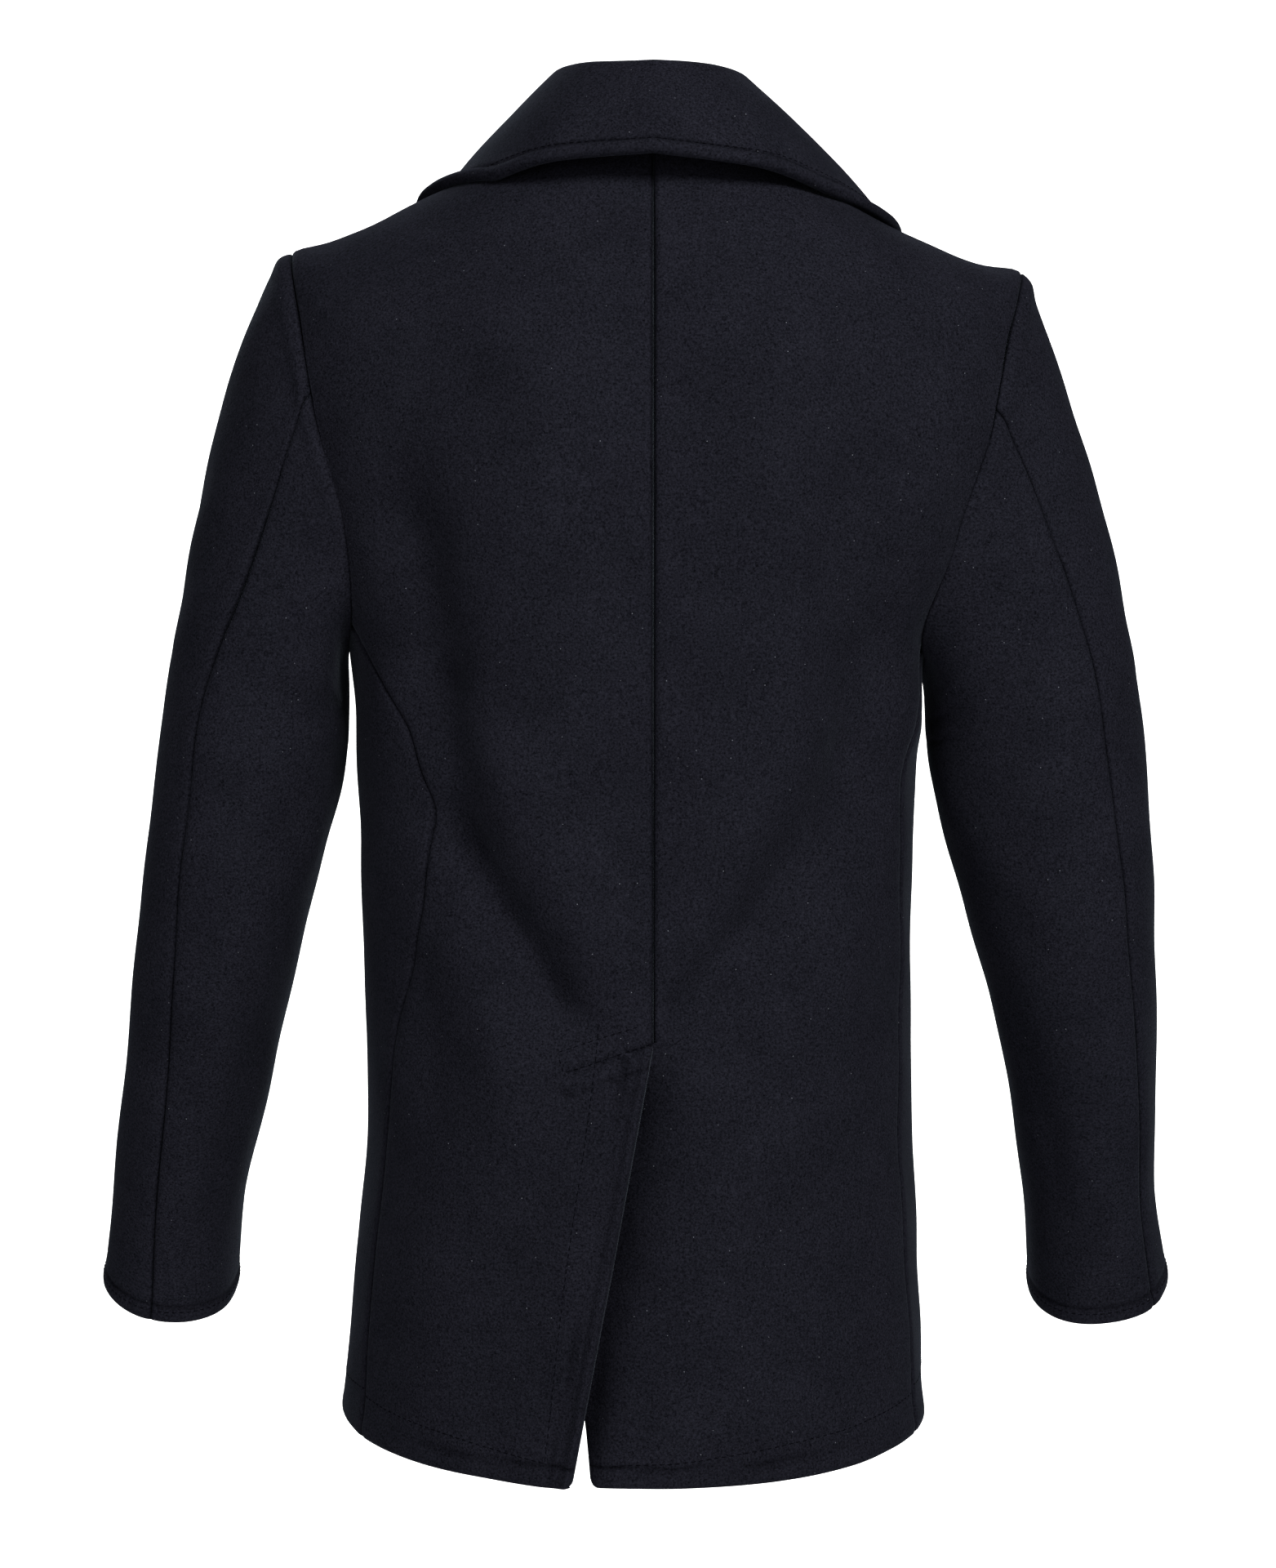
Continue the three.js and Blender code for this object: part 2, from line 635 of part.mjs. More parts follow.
// Turn round the sleeve at a depth, so that the seams fall where the tables put them
function seamTurn(side, turn, depth) {
  const seams = SLEEVE_SEAMS[side];
  const bend = smooth(depth / ELBOW_DEPTH);
  const elbow = ELBOW_SEAM_MEETS
    + (seams.elbowMid - ELBOW_SEAM_MEETS) * bend
    + (seams.elbowCuff - seams.elbowMid) * smooth((depth - ELBOW_DEPTH) / (1 - ELBOW_DEPTH));
  const forearm = FRONT_SEAM_MEETS + (seams.forearm - FRONT_SEAM_MEETS) * bend;
  if (turn >= ELBOW_SEAM_MEETS && turn <= FRONT_SEAM_MEETS) {
    const t = (turn - ELBOW_SEAM_MEETS) / (FRONT_SEAM_MEETS - ELBOW_SEAM_MEETS);
    return elbow + (forearm - elbow) * t;
  }
  const wrapped = turn > FRONT_SEAM_MEETS ? turn - 360 : turn;
  const t = (wrapped - (FRONT_SEAM_MEETS - 360)) / (ELBOW_SEAM_MEETS - (FRONT_SEAM_MEETS - 360));
  return forearm - 360 + (elbow - forearm + 360) * t;
}

// A point of the sleeve: depth 0 is the armhole and 1 the cuff
function sleevePoint(side, turn, depth) {
  const placed = seamTurn(side, turn, depth);
  if (depth >= CAP_SHARE) {
    const position = ((depth - CAP_SHARE) / (1 - CAP_SHARE)) * (ARM[side].length - 1);
    return armRing(side, placed, position).point;
  }
  const t = depth / CAP_SHARE;
  const place = armholePlace(side, turn);
  const seam = bodyPoint(place.angle, place.level);
  const underarm = Math.max(0, -Math.cos(radians(turn)));
  const behind = Math.max(0, Math.sin(radians(turn)));
  seam.x += sign(side) * (SLEEVE_SEAM_GAP + UNDERARM_GAP[side] * underarm + BEHIND_GAP * behind);
  const ring = armRing(side, seamTurn(side, turn, CAP_SHARE), 0);
  const span = seam.distanceTo(ring.point);
  const reach = Math.min(SLEEVE_REACH_TOP[side], span * CAP_FULLNESS + 4);
  const out = new THREE.Vector3(sign(side) * reach, 0, 0);
  const down = ring.down.clone().multiplyScalar(span * CAP_DROP);
  const t2 = t * t;
  const t3 = t2 * t;
  return seam.multiplyScalar(2 * t3 - 3 * t2 + 1)
    .addScaledVector(out, t3 - 2 * t2 + t)
    .addScaledVector(ring.point, 3 * t2 - 2 * t3)
    .addScaledVector(down, t3 - t2);
}

function sleeveSample(side, turn, depth) {
  const step = 0.004;
  const low = Math.max(0, depth - step);
  const high = Math.min(1, depth + step);
  const along = sleevePoint(side, turn, high).sub(sleevePoint(side, turn, low));
  const round = sleevePoint(side, turn + 0.5, depth).sub(sleevePoint(side, turn - 0.5, depth));
  const normal = along.cross(round).normalize().multiplyScalar(sign(side));
  return { point: sleevePoint(side, turn, depth), normal };
}

function sleeve(side, turns) {
  const depths = [0, ...steps(0, CAP_SHARE, CAP_ROWS), ...steps(CAP_SHARE, 1, ARM_ROWS)];
  const grid = depths.map((depth) => turns.map((turn) => sleeveSample(side, turn, depth)));
  trim(grid);
  return wallGeometry(grid, WALL);
}

const UNDER_TURNS = [
  ELBOW_SEAM_MEETS,
  ...steps(ELBOW_SEAM_MEETS, SIDE_SEAM_MEETS, 6),
  ...steps(SIDE_SEAM_MEETS, FRONT_SEAM_MEETS, 6),
];
const UPPER_TURNS = [
  FRONT_SEAM_MEETS,
  ...steps(FRONT_SEAM_MEETS, 360, 9),
  ...steps(360, 360 + ELBOW_SEAM_MEETS, 5),
];

// Raises a point until it is clear of the shoulder and chest below it
function clearOfShoulder(point) {
  const halfName = point.x >= 0 ? 'left' : 'right';
  const depthName = point.y >= 0 ? 'back' : 'front';
  const across = (level) => (Math.abs(point.x) / column(BODY, halfName, level)) ** (1 / SECTION_POWER);
  const deep = (level) => (Math.abs(point.y) / column(BODY, depthName, level)) ** (1 / SECTION_POWER);
  let low = TIP_LEVEL - 1;
  let high = NECK_LEVEL;
  if (across(high) ** 2 + deep(high) ** 2 < 1) return point;
  for (let step = 0; step < 30; step += 1) {
    const level = (low + high) / 2;
    if (across(level) ** 2 + deep(level) ** 2 > 1) high = level;
    else low = level;
  }
  const lean = Math.atan2(across(low), deep(low));
  const angle = Math.sign(point.x || 1) * (point.y >= 0 ? lean : Math.PI - lean);
  const surface = bodyPoint(angle, low);
  const normal = bodyNormal(angle, low);
  const lowest = surface.z + COLLAR_CLEARANCE / Math.max(0.3, normal.z);
  if (point.z < lowest) point.z = lowest;
  return point;
}

// Middle line of the folded collar at a station: up the stand, over the fold, down the fall
function collarLine(position) {
  const side = position < 0 ? 'right' : 'left';
  const fit = COLLAR_SIDES[side];
  const s = sign(side);
  const read = (name) => column(COLLAR, name, Math.abs(position));
  const placed = (name, spread) => {
    const x = read(`${name}X`) * spread;
    return new THREE.Vector3(s * x, read(`${name}Y`), read(`${name}Z`) - (fit.drop * x) / 150);
  };
  const base = bodyPoint(radians(s * read('baseAngle')), NECK_LEVEL);
  base.z += SEAM_GAP + COLLAR_BASE_LIFT;
  const fold = placed('fold', fit.fold);
  const edge = placed('edge', fit.edge);
  const out = edge.clone().sub(fold).setZ(0).normalize();
  const inner = fold.clone().addScaledVector(out, -COLLAR_FOLD_RADIUS);
  inner.z -= COLLAR_FOLD_RADIUS;
  const run = Math.hypot(edge.x - fold.x, edge.y - fold.y);
  const slope = Math.atan2(fold.z - edge.z - Math.PI * read('bulge'), run);
  const onFold = (a) => {
    const point = fold.clone().addScaledVector(out, COLLAR_FOLD_RADIUS * Math.cos(a));
    point.z += COLLAR_FOLD_RADIUS * (Math.sin(a) - 1);
    return point;
  };
  const points = [];
  for (const t of [0, 0.5, 1]) points.push(base.clone().lerp(inner, t));
  for (const t of [0.25, 0.5, 0.75, 1]) points.push(onFold(Math.PI - (Math.PI / 2 + slope) * t));
  const outer = points[points.length - 1].clone();
  const face = new THREE.Vector3(0, 0, 1).addScaledVector(out, 0.8).normalize();
  for (const t of steps(0, 1, COLLAR_FALL_COLUMNS)) {
    const point = outer.clone().lerp(edge, t);
    point.addScaledVector(face, read('bulge') * Math.sin(Math.PI * t));
    points.push(clearOfShoulder(point));
  }
  return points;
}

function collar() {
  const last = COLLAR.length - 1;
  const half = COLLAR_HALF_ROWS;
  const positions = [];
  for (let k = -half; k <= half; k += 1) positions.push((last * k) / half);
  const lines = positions.map(collarLine);
  const columns = lines[0].length;
  const grid = lines.map((line, j) => line.map((point, i) => {
    const along = line[Math.min(columns - 1, i + 1)].clone().sub(line[Math.max(0, i - 1)]);
    const round = lines[Math.min(lines.length - 1, j + 1)][i].clone().sub(lines[Math.max(0, j - 1)][i]);
    const normal = along.cross(round).normalize();
    return { point: point.clone(), normal };
  }));
  const facing = grid[half][columns - 3];
  const flip = facing.normal.y < 0 ? -1 : 1;
  for (const row of grid) {
    for (const sample of row) {
      sample.normal.multiplyScalar(flip);
      sample.point.addScaledVector(sample.normal, COLLAR_WALL / 2);
    }
  }
  return wallGeometry(grid, COLLAR_WALL);
}

function buttonGeometry() {
  const r = BUTTON_RADIUS;
  const profile = [
    [0, 0], [4, 0], [4, 2], [r - 1.2, 2.2], [r, 3.6], [r - 1.4, 5.6], [r - 5, 4.6], [0, 4.4],
  ].map(([x, y]) => new THREE.Vector2(x, y));
  return new THREE.LatheGeometry(profile, BUTTON_SIDES);
}

function button(side, row, name) {
  const place = unwrap(locate(sign(side) * BUTTON_COLUMN, BUTTON_ROWS[row], 'front'), 1);
  const { point, normal } = frontSample('left', place, BUTTON_GAP[side][row]);
  const mesh = new THREE.Mesh(buttonGeometry(), HORN);
  mesh.quaternion.setFromUnitVectors(new THREE.Vector3(0, 1, 0), normal);
  mesh.position.copy(point);
  mesh.name = name;
  return mesh;
}

function add(group, name, geometry, material) {
  const mesh = new THREE.Mesh(geometry, material);
  mesh.name = name;
  group.add(mesh);
}

const coat = new THREE.Group();
for (const side of ['left', 'right']) {
  add(coat, `back_${side}`, backPanel(side), CLOTH);
  add(coat, `front_${side}`, frontPanel(side), CLOTH);
  add(coat, `sleeve_upper_${side}`, sleeve(side, UPPER_TURNS), CLOTH);
  add(coat, `sleeve_under_${side}`, sleeve(side, UNDER_TURNS), UNDERSIDE);
  add(coat, `lapel_${side}`, lapel(side), CLOTH);
  add(coat, `pocket_welt_${side}`, pocketWelt(side), CLOTH);
  BUTTON_ROWS.forEach((_, row) => coat.add(button(side, row, `button_${side}_${row + 1}`)));
}
add(coat, 'collar', collar(), CLOTH);

export default coat;
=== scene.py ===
"""A dark wool pea coat, worn on an invisible figure and seen from behind.

Tables and shapes are in millimetres, in the frame of the CAD part. Meshes are made in metres.
"""

import bpy
import numpy as np
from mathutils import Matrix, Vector
from mathutils.bvhtree import BVHTree

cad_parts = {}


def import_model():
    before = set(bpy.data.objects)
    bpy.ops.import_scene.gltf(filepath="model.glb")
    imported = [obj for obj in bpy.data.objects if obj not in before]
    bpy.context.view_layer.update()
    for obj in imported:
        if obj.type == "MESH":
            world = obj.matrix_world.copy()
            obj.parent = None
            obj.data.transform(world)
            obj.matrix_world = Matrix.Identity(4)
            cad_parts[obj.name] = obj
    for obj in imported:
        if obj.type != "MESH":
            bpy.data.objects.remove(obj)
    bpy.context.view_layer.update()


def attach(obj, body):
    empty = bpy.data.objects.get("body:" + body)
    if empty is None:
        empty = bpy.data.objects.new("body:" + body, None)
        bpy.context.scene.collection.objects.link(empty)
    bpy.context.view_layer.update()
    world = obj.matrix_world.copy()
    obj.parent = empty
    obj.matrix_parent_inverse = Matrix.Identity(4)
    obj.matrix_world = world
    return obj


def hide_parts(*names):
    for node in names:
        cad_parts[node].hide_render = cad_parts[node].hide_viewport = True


MM = 0.001
SIDES = ("left", "right")

# How full the sections of the body and the sleeves are: 1 is an ellipse
SECTION_POWER = 0.85
SLEEVE_POWER = 0.92

# Levels of the body rows that seams refer to
ARMPIT_LEVEL = {"left": 5, "right": 4.85}
TIP_LEVEL = 8
NECK_LEVEL = 12

# Part of a row that slopes are taken over, and how often a search halves its range
SLOPE_BODY = 0.01
HALVINGS = 36

# Armhole, as angles round the body and round the hole
ARMHOLE_BACK_REACH = 32
ARMHOLE_FRONT_REACH = 28
SIDE_SEAM_MEETS = 150
ELBOW_SEAM_MEETS = 66
FRONT_SEAM_MEETS = 235
NECK_FRONT_ANGLE = 122

# How the rows of a panel are shared along its borders
SIDE_ROWS = 13
SEAM_MEETS_ROW = 19
BACK_ROWS = 24
FRONT_ROWS = 28
VENT_ROWS = 8
BREAK_ROW = 15
SEAM_LATE = 0.6
BACK_NECK_SHARE = 0.43
FRONT_NECK_SHARE = 0.23

# Fronts: one laps over the other
LAP = 88
BREAK_Z = -235
LAP_SINK_HIGH = 9.5
LAP_SINK_LOW = 6.3
LAP_SINK_X = (-150, 95)
LAP_SINK_Z = (-330, 90)
BREAK_FADE = (4, 20)

# Back vent
VENT_TOP_Z = -511
VENT_UNDERLAP_TOP = 68
VENT_UNDERLAP_HEM = 37
VENT_UNDERLAP_SLANT = 34
VENT_SWING = 47
VENT_LIFT = 7
VENT_LIFT_REACH = 60
VENT_SINK = 10
VENT_SINK_REACH = 16
VENT_SHADE = 0.45
VENT_SHADE_REACH = 26
# From how far above its top the vent opens, and over what length
VENT_OPENS = {"left": (4, 60), "right": (14, 50)}
# Roll and dip of its edge: distance from the edge, width and height
VENT_ROLL = (3.4, 3.2, 2.8)
VENT_DIP = (10.4, 4.0, -2.4)
VENT_GROOVE = (0.9, -0.7)
VENT_ROUND = 3.2
VENT_STARTS = (2, 8)
UNDERLAP_STITCH_COLUMN = 8
# The bar across its top: two points x, z of its lower line, and how it fades out to the left
VENT_BAR = ((-1, -508), (52, -526))
VENT_BAR_WIDTH = 12
BAR_GROOVE = (0.9, -0.8)
BAR_PUFF = (2.2, 0.5)
BAR_FADE = (60, 8)
BAR_START = (2.0, -0.5)
BAR_PLACES = 40
RAY_FROM_Y = 0.4

# Thickness of the cloth and of its edges, and how round they are
CLOTH = 2.6
HEM = 5.4
CUFF = 5.6
VENT_EDGE = 6.2
FRONT_EDGE = 5.0
COLLAR_CLOTH = 4.6
COLLAR_EDGE = 6.6
LAPEL_CLOTH = 4.4
WELT_CLOTH = 3.6
SEAM_ROUND = 1.1
SEAM_PULL = 0.7
SEAM_CLOTH = 4.2
EDGE_ROUND = 2.8
CORNER_RADIUS = 6
# An edge keeps its thickness this far past its stitches, and then thins out over this length
THICK_PAST = 4
THICK_FADE = 6
LAID_ROUND = 2.24

# Width and depth of the shade in a seam, in a faint one and along stitches
SEAM_DARK = (1.15, 0.74)
SEAM_FAINT = (1.2, 0.42)
STITCH_DARK = (1.3, 0.42)

# Relief of seams and edges: distances, widths and heights
SEAM_PULL_WIDTH = 2.4
SEAM_RISE = 4.0
SEAM_THICK_ENDS = 5
SEAM_ALLOWANCE = 8.0
SEAM_FALL = 7
SEAM_PUFF = 0.3
CENTRE_PUFF = 0.55
SEAM_STARTS = 12
EDGE_POWER = 0.8
EDGE_GROOVE = (0.9, -0.75)
EDGE_SHOULDER = (3.0, 2.2, 0.3)
HEM_PUFF = 1.0
CUFF_PUFF = 1.2
FRONT_PUFF = 0.9
COLLAR_PUFF = 0.7
LAPEL_PUFF = 0.6
WELT_PUFF = 0.4
UNEVEN = 0.6
UNEVEN_COLLAR = 0.3
UNEVEN_FLAT = 0.25

# Added to a distance where its seam or row of stitches doesn't run
FAR_OFF = 99

# Distance of the topstitching from each edge
HEM_STITCH = 13
CUFF_STITCH = 12
VENT_STITCH = 14
COLLAR_STITCH = 8.5
FRONT_STITCH = 8
LAPEL_STITCH = 7
WELT_STITCH = 6

# Topstitches
STITCH_PITCH = 4.6
STITCH_LENGTH = 3.5
STITCH_RADIUS = 0.27
STITCH_SIDES = 5
STITCH_ALONG = (-0.5, -0.36, 0.0, 0.36, 0.5)
STITCH_LIFT = (-0.6, -0.05, 0.12, -0.05, -0.6)
STITCH_GIRTH = (0.35, 0.9, 1.0, 0.9, 0.35)
STITCH_CLEAR = 4

# Buttons, pocket welts and lapels
BUTTON_RADIUS = 15
BUTTON_COLUMN = 62
BUTTON_ROWS = (-262, -372, -482)
BUTTON_OFF = 0.9
BUTTON_TURNS = 64
# Its section: rim points as radius less a step, and height, then the face's radii at one height
BUTTON_BACK = ((0.0, 0.2), (BUTTON_RADIUS * 0.5, 0.0))
BUTTON_RIM = (
    (1.6, 0.4), (0.4, 1.6), (0, 2.8), (0.5, 4.1), (1.6, 4.9), (2.8, 4.9), (3.8, 4.2), (5.0, 3.6), (6.5, 3.4),
)
BUTTON_FACE = (7.4, 6.4, 5.6, 4.9, 4.2, 3.5, 2.8, 2.1, 1.4, 0.7, 0.0)
BUTTON_FACE_Z = 3.4
BUTTON_FACE_RING = 6
HOLE_AT = 2.2
HOLE_DEPTH = 1.6
HOLE_WIDTH = 0.95
BUTTON_THREAD = (-3.4, -2.0, 0.0, 2.0, 3.4)
BUTTON_THREAD_Z = 3.5
BUTTON_STITCH = {"pitch": 6.4, "length": 4.9, "radius": 0.6}
WELT_LENGTH = 150
WELT_WIDTH = 32
WELT_TOP = (112, -452)
WELT_LEAN = 26
WELT_TILT = 4
WELT_OFF = 0.6
LAPEL_NOTCH = (101, -66)
LAPEL_POINT = (143, -98)
LAPEL_GORGE = (3, -6)
LAPEL_INSET = 2.0
LAPEL_STARTS = 0.03
LAPEL_NOTCH_ROW = 10 / 12
LAPEL_OFF = 0.9
LAPEL_STITCH_ROW = 4

# Spacing of the mesh, and its extra lines at these distances from a seam or an edge
STEP = 4.2
LAPEL_STEP = 3.2
WELT_STEP = 3.0
COLLAR_STEP = 3.4
FALL_STEP = 2.6
LEAST_STEP = 0.45
NEAR_SEAM = (0.25, 0.7, 1.3, 2.1, 3.2)
NEAR_EDGE = (0.3, 0.8, 1.5, 2.3, 3.3, 5.0)
NEAR_HEM = (*NEAR_EDGE, 8, 10.5, 12, 12.6, 13, 13.4, 14, 15.5)
NEAR_VENT = (*NEAR_EDGE, 8, 10.5, 12.4, 13.2, 13.6, 14, 14.4, 14.8, 15.6, 17)
NEAR_UNDERLAP = (*NEAR_SEAM, 5, 7)
NEAR_FRONT = (*NEAR_EDGE, 6.4, 7.2, 7.6, 8, 8.4, 8.8, 9.6, 11)
NEAR_CUFF = (*NEAR_EDGE, 7.5, 9.5, 11, 11.6, 12, 12.4, 13, 14.5)
NEAR_SLEEVE_HEAD = (*NEAR_SEAM, 5, 7, 9)
NEAR_LAPEL = (*NEAR_SEAM, 5.5, 6.4, 7, 7.6, 8.6)
NEAR_WELT = (*NEAR_SEAM, 4.6, 5.4, 6, 6.6, 7.6)
NEAR_COLLAR_END = (*NEAR_EDGE, 7, 8, 8.5, 9, 10)
NEAR_COLLAR_EDGE = (*NEAR_EDGE, 6.4, 7.4, 8, 8.5, 9, 9.6, 10.6)
# Extra rows of each back where the bar crosses it, as shares of its length
BAR_ROWS = {"left": np.arange(0.296, 0.360, 0.00125), "right": np.arange(0.276, 0.338, 0.0016)}

# Lengths and widths that those distances are measured on
BACK_LENGTH, BACK_WIDTH = 768, 155
FRONT_LENGTH, FRONT_WIDTH = 790, 250
SLEEVE_LENGTH = 690
SLEEVE_WIDTH = {"upper": 210, "under": 180}
LAPEL_LENGTH, LAPEL_WIDTH = 240, 110
COLLAR_LENGTH, COLLAR_FALL = 620, 66


def table(columns, rows):
    data = np.array(rows, dtype=float)
    return {name: data[:, k] for k, name in enumerate(columns)}


# Loops round the body from the hem up to the neck seam
BODY = table(
    ("backZ", "leftZ", "rightZ", "frontZ", "left", "right", "back", "front", "peak"),
    [
        (-767, -760, -760, -762, 191, 168, 165, 142, 2),
        (-664, -662, -662, -662, 183.5, 163.5, 160, 142, 2),
        (-562, -562, -562, -562, 174.5, 159, 152, 140, 2),
        (-462, -462, -462, -462, 177, 158, 144, 136, 2),
        (-375, -375, -375, -375, 180, 160, 140, 134, 2),
        (-290, -290, -292, -290, 184, 161, 141, 138, 2),
        (-222, -212, -222, -222, 205, 200, 141, 138, 2),
        (-158, -130, -142, -160, 226, 226, 137, 128, 4),
        (-100, -51, -63, -108, 218, 222, 125, 108, 8),
        (-76, -43, -57, -90, 192, 196, 117, 100, 6),
        (-46, -30, -45, -70, 160, 163, 104, 89, 5),
        (-12, -9, -20, -45, 116, 116, 88, 80, 3),
        (14, 12, 10, -28, 77, 77, 72, 76, 2),
    ],
)

# Side-back seams, from the hem up to where they meet the armhole
SIDE_SEAM = {
    "left": table(("x", "z"), [
        (176, -760), (168, -664), (161, -590), (156, -527), (145, -474),
        (135, -425), (134, -378), (146, -337), (163, -303),
    ]),
    "right": table(("x", "z"), [
        (158, -760), (153, -664), (149, -590), (148, -527), (148, -474),
        (148, -425), (149, -378), (152, -337), (155, -315),
    ]),
}

# Rings down each arm below the armhole
ARM = {
    "left": table(("x", "y", "z", "across", "deep"), [
        (236.8, 0, -300, 55.5, 70),
        (243.5, 4, -350, 57, 67),
        (261, 5, -437, 52, 62),
        (279.4, -18, -537, 46, 58),
        (298.6, -45, -637, 41, 53),
        (306.2, -62, -698, 41.5, 52),
    ]),
    "right": table(("x", "y", "z", "across", "deep"), [
        (230.5, 0, -312, 63.5, 70),
        (233.8, 4, -350, 65.8, 67),
        (248.5, 6, -437, 58, 62),
        (265, -14, -537, 47.3, 58),
        (276, -42, -637, 41, 53),
        (284, -60, -698, 43.5, 52),
    ]),
}

# Sleeves: where the seams run, how the cap springs from the armhole, and its relief
SLEEVE_SEAMS = {
    "left": {"elbowMid": 58, "elbowCuff": 81, "forearm": 235},
    "right": {"elbowMid": 58, "elbowCuff": 46, "forearm": 228},
}
SLEEVE_REACH_TOP = {"left": 44, "right": 24}
SLEEVE_REACH_SIDE = {"left": 28, "right": 24}
CAP_BULGE = {"left": (5.8, 0), "right": (3.3, -1.4)}
CAP_SEAM_LEAN = {"left": 14, "right": 3}
CAP_LEAN_ENDS = 0.55
CAP_LEAN_WIDTH = 40
CAP_TANGENT = 0.95
CAP_SHARE = 0.4
CAP_REACH = (0.55, 4)
CAP_TOP = (0.35, 0.6)
CAP_SLOPE_STEP = 0.12
ELBOW_SHARE = 0.45
SLEEVE_SEAM_GAP = -0.4
UNDERARM_GAP = 0.5
UNDERARM_EASE = (0.1, 0.7)
SLEEVE_HEAD = (9, 7, 1.6)
SLEEVE_HEAD_SEAM = (7, 5, 0.5)
SLEEVE_HEAD_TOP = (0.5, 0.9)
SLEEVE_FOLD_FADE = {"bottom": 40, "top": 50}

# Steps that the slopes of a sleeve are taken over: in turn, in depth and in rows
SLOPE_TURN = 0.5
SLOPE_DEPTH = 0.004
SLOPE_ROWS = 0.02

# Soft folds of the body: ridges where high is positive, troughs where it is negative
FOLD_GAIN = 1.5
FOLD_FADE = (4, 40)
FOLD_COLUMNS = ("x1", "z1", "x2", "z2", "width", "high")
BACK_FOLDS = table(FOLD_COLUMNS, [
    (140, -215, 126, -290, 17, -5),
    (-140, -235, -122, -378, 16, -5),
    (126, -380, 66, -492, 24, -4),
    (-116, -380, -28, -492, 24, -4),
    (106, -462, 98, -470, 22, 4),
    (-106, -462, -104, -470, 22, 4),
    (-6, -560, 16, -640, 20, -5),
    (-14, -640, -12, -745, 18, 3),
    (78, -90, 72, -110, 40, 3),
    (146, -185, 136, -330, 20, -5.0),
    (-152, -195, -146, -330, 20, 4.5),
    (-106, -200, -112, -335, 22, -4.5),
    (122, -382, 58, -480, 13, -5.0),
    (124, -300, 108, -392, 15, -4.0),
    (94, -340, 44, -440, 20, 4.0),
    (-120, -346, -56, -442, 18, -4.0),
    (-56, -442, -18, -486, 12, -4.0),
    (-86, -320, -30, -432, 24, 3.6),
    (62, -486, 26, -508, 12, -2.6),
    (96, -498, 78, -560, 18, 3.2),
    (64, -120, 72, -262, 36, 3.6),
    (-66, -130, -74, -282, 36, 3.6),
    (0, -250, 4, -400, 30, -2.6),
    (-84, -500, -60, -570, 22, 1.8),
    (140, -470, 128, -560, 14, -2.4),
    (120, -560, 128, -690, 22, 1.8),
    (-40, -560, -46, -720, 22, 1.6),
    (-120, -560, -112, -690, 24, -1.8),
    (-72, -80, -70, -104, 40, 2.4),
    (10, -40, 8, -110, 30, -1.6),
])
FRONT_FOLDS = table(FOLD_COLUMNS, [
    (128, -300, 70, -400, 24, -4),
    (-126, -310, -64, -410, 24, -4),
])

# Folds of the sleeves: turn round the sleeve and depth down it
SLEEVE_FOLD_COLUMNS = ("turn1", "depth1", "turn2", "depth2", "width", "high")
SLEEVE_FOLDS = {
    "left": table(SLEEVE_FOLD_COLUMNS, [
        (150, 0.34, 110, 0.48, 17, -2.0),
        (128, 0.30, 96, 0.40, 14, 1.8),
        (155, 0.52, 112, 0.58, 18, -2.2),
        (150, 0.60, 104, 0.66, 14, 1.6),
        (96, 0.62, 92, 0.94, 20, 1.6),
        (140, 0.72, 118, 0.86, 15, -1.8),
        (20, 0.16, 8, 0.34, 22, -0.9),
        (230, 0.46, 285, 0.56, 13, -2.4),
        (235, 0.58, 290, 0.62, 13, 1.8),
    ]),
    "right": table(SLEEVE_FOLD_COLUMNS, [
        (152, 0.36, 112, 0.50, 20, -1.8),
        (130, 0.28, 96, 0.38, 18, 1.4),
        (156, 0.48, 110, 0.58, 22, -2.2),
        (150, 0.57, 100, 0.64, 14, 1.8),
        (92, 0.62, 84, 0.92, 20, 1.8),
        (142, 0.70, 120, 0.84, 15, -2.0),
        (24, 0.16, 12, 0.34, 22, -0.9),
        (228, 0.44, 280, 0.55, 13, -2.4),
        (232, 0.57, 285, 0.61, 13, 1.8),
    ]),
}

# Collar stations from the centre back round to the left front
COLLAR = table(
    ("baseAngle", "foldX", "foldY", "foldZ", "edgeX", "edgeY", "edgeZ", "bulge"),
    [
        (0, 0, 64, 57, 0, 104, 3, 4),
        (30, 34, 54, 57, 60, 92, -1, 4),
        (62, 55, 26, 55, 102, 62, -12, 5),
        (90, 62, -8, 46, 138, 14, -27, 5),
        (103, 66, -32, 30, 152, -26, -39, 4),
        (113, 67, -50, 14, 151, -62, -46, 3),
        (122, 66, -62, 2, 146, -96, -58, 0),
    ],
)
COLLAR_FOLD_RADIUS = 6
COLLAR_SIDES = {
    "left": {"fold": 0.97, "edge": 0.95, "drop": 0},
    "right": {"fold": 0.93, "edge": 1.0, "drop": 8},
}
COLLAR_DROP_WIDTH = 150
COLLAR_BASE_LIFT = 0.9
COLLAR_CLEARANCE = 3.4
COLLAR_STEEPEST = 0.3
COLLAR_FACE_LEAN = 0.8
COLLAR_STAND = (0, 0.015, 0.04, 0.08, *np.linspace(0.15, 1, 8))
COLLAR_FOLD_PLACES = 12
COLLAR_RIM = (2, 5)
COLLAR_FALL_FADE = 4
COLLAR_END_ROUND = 3.3

# Colours of the materials
WOOL_DARK = (0.0055, 0.0056, 0.0080, 1)
WOOL_LIGHT = (0.0072, 0.0073, 0.0104, 1)
LINT = (0.10, 0.105, 0.12, 1)
SHEEN = (0.72, 0.84, 1.0, 1)
THREAD = (0.0016, 0.0016, 0.0024)
HORN = (0.005, 0.005, 0.006)
STUDIO_WHITE = (0.88, 0.88, 0.88)

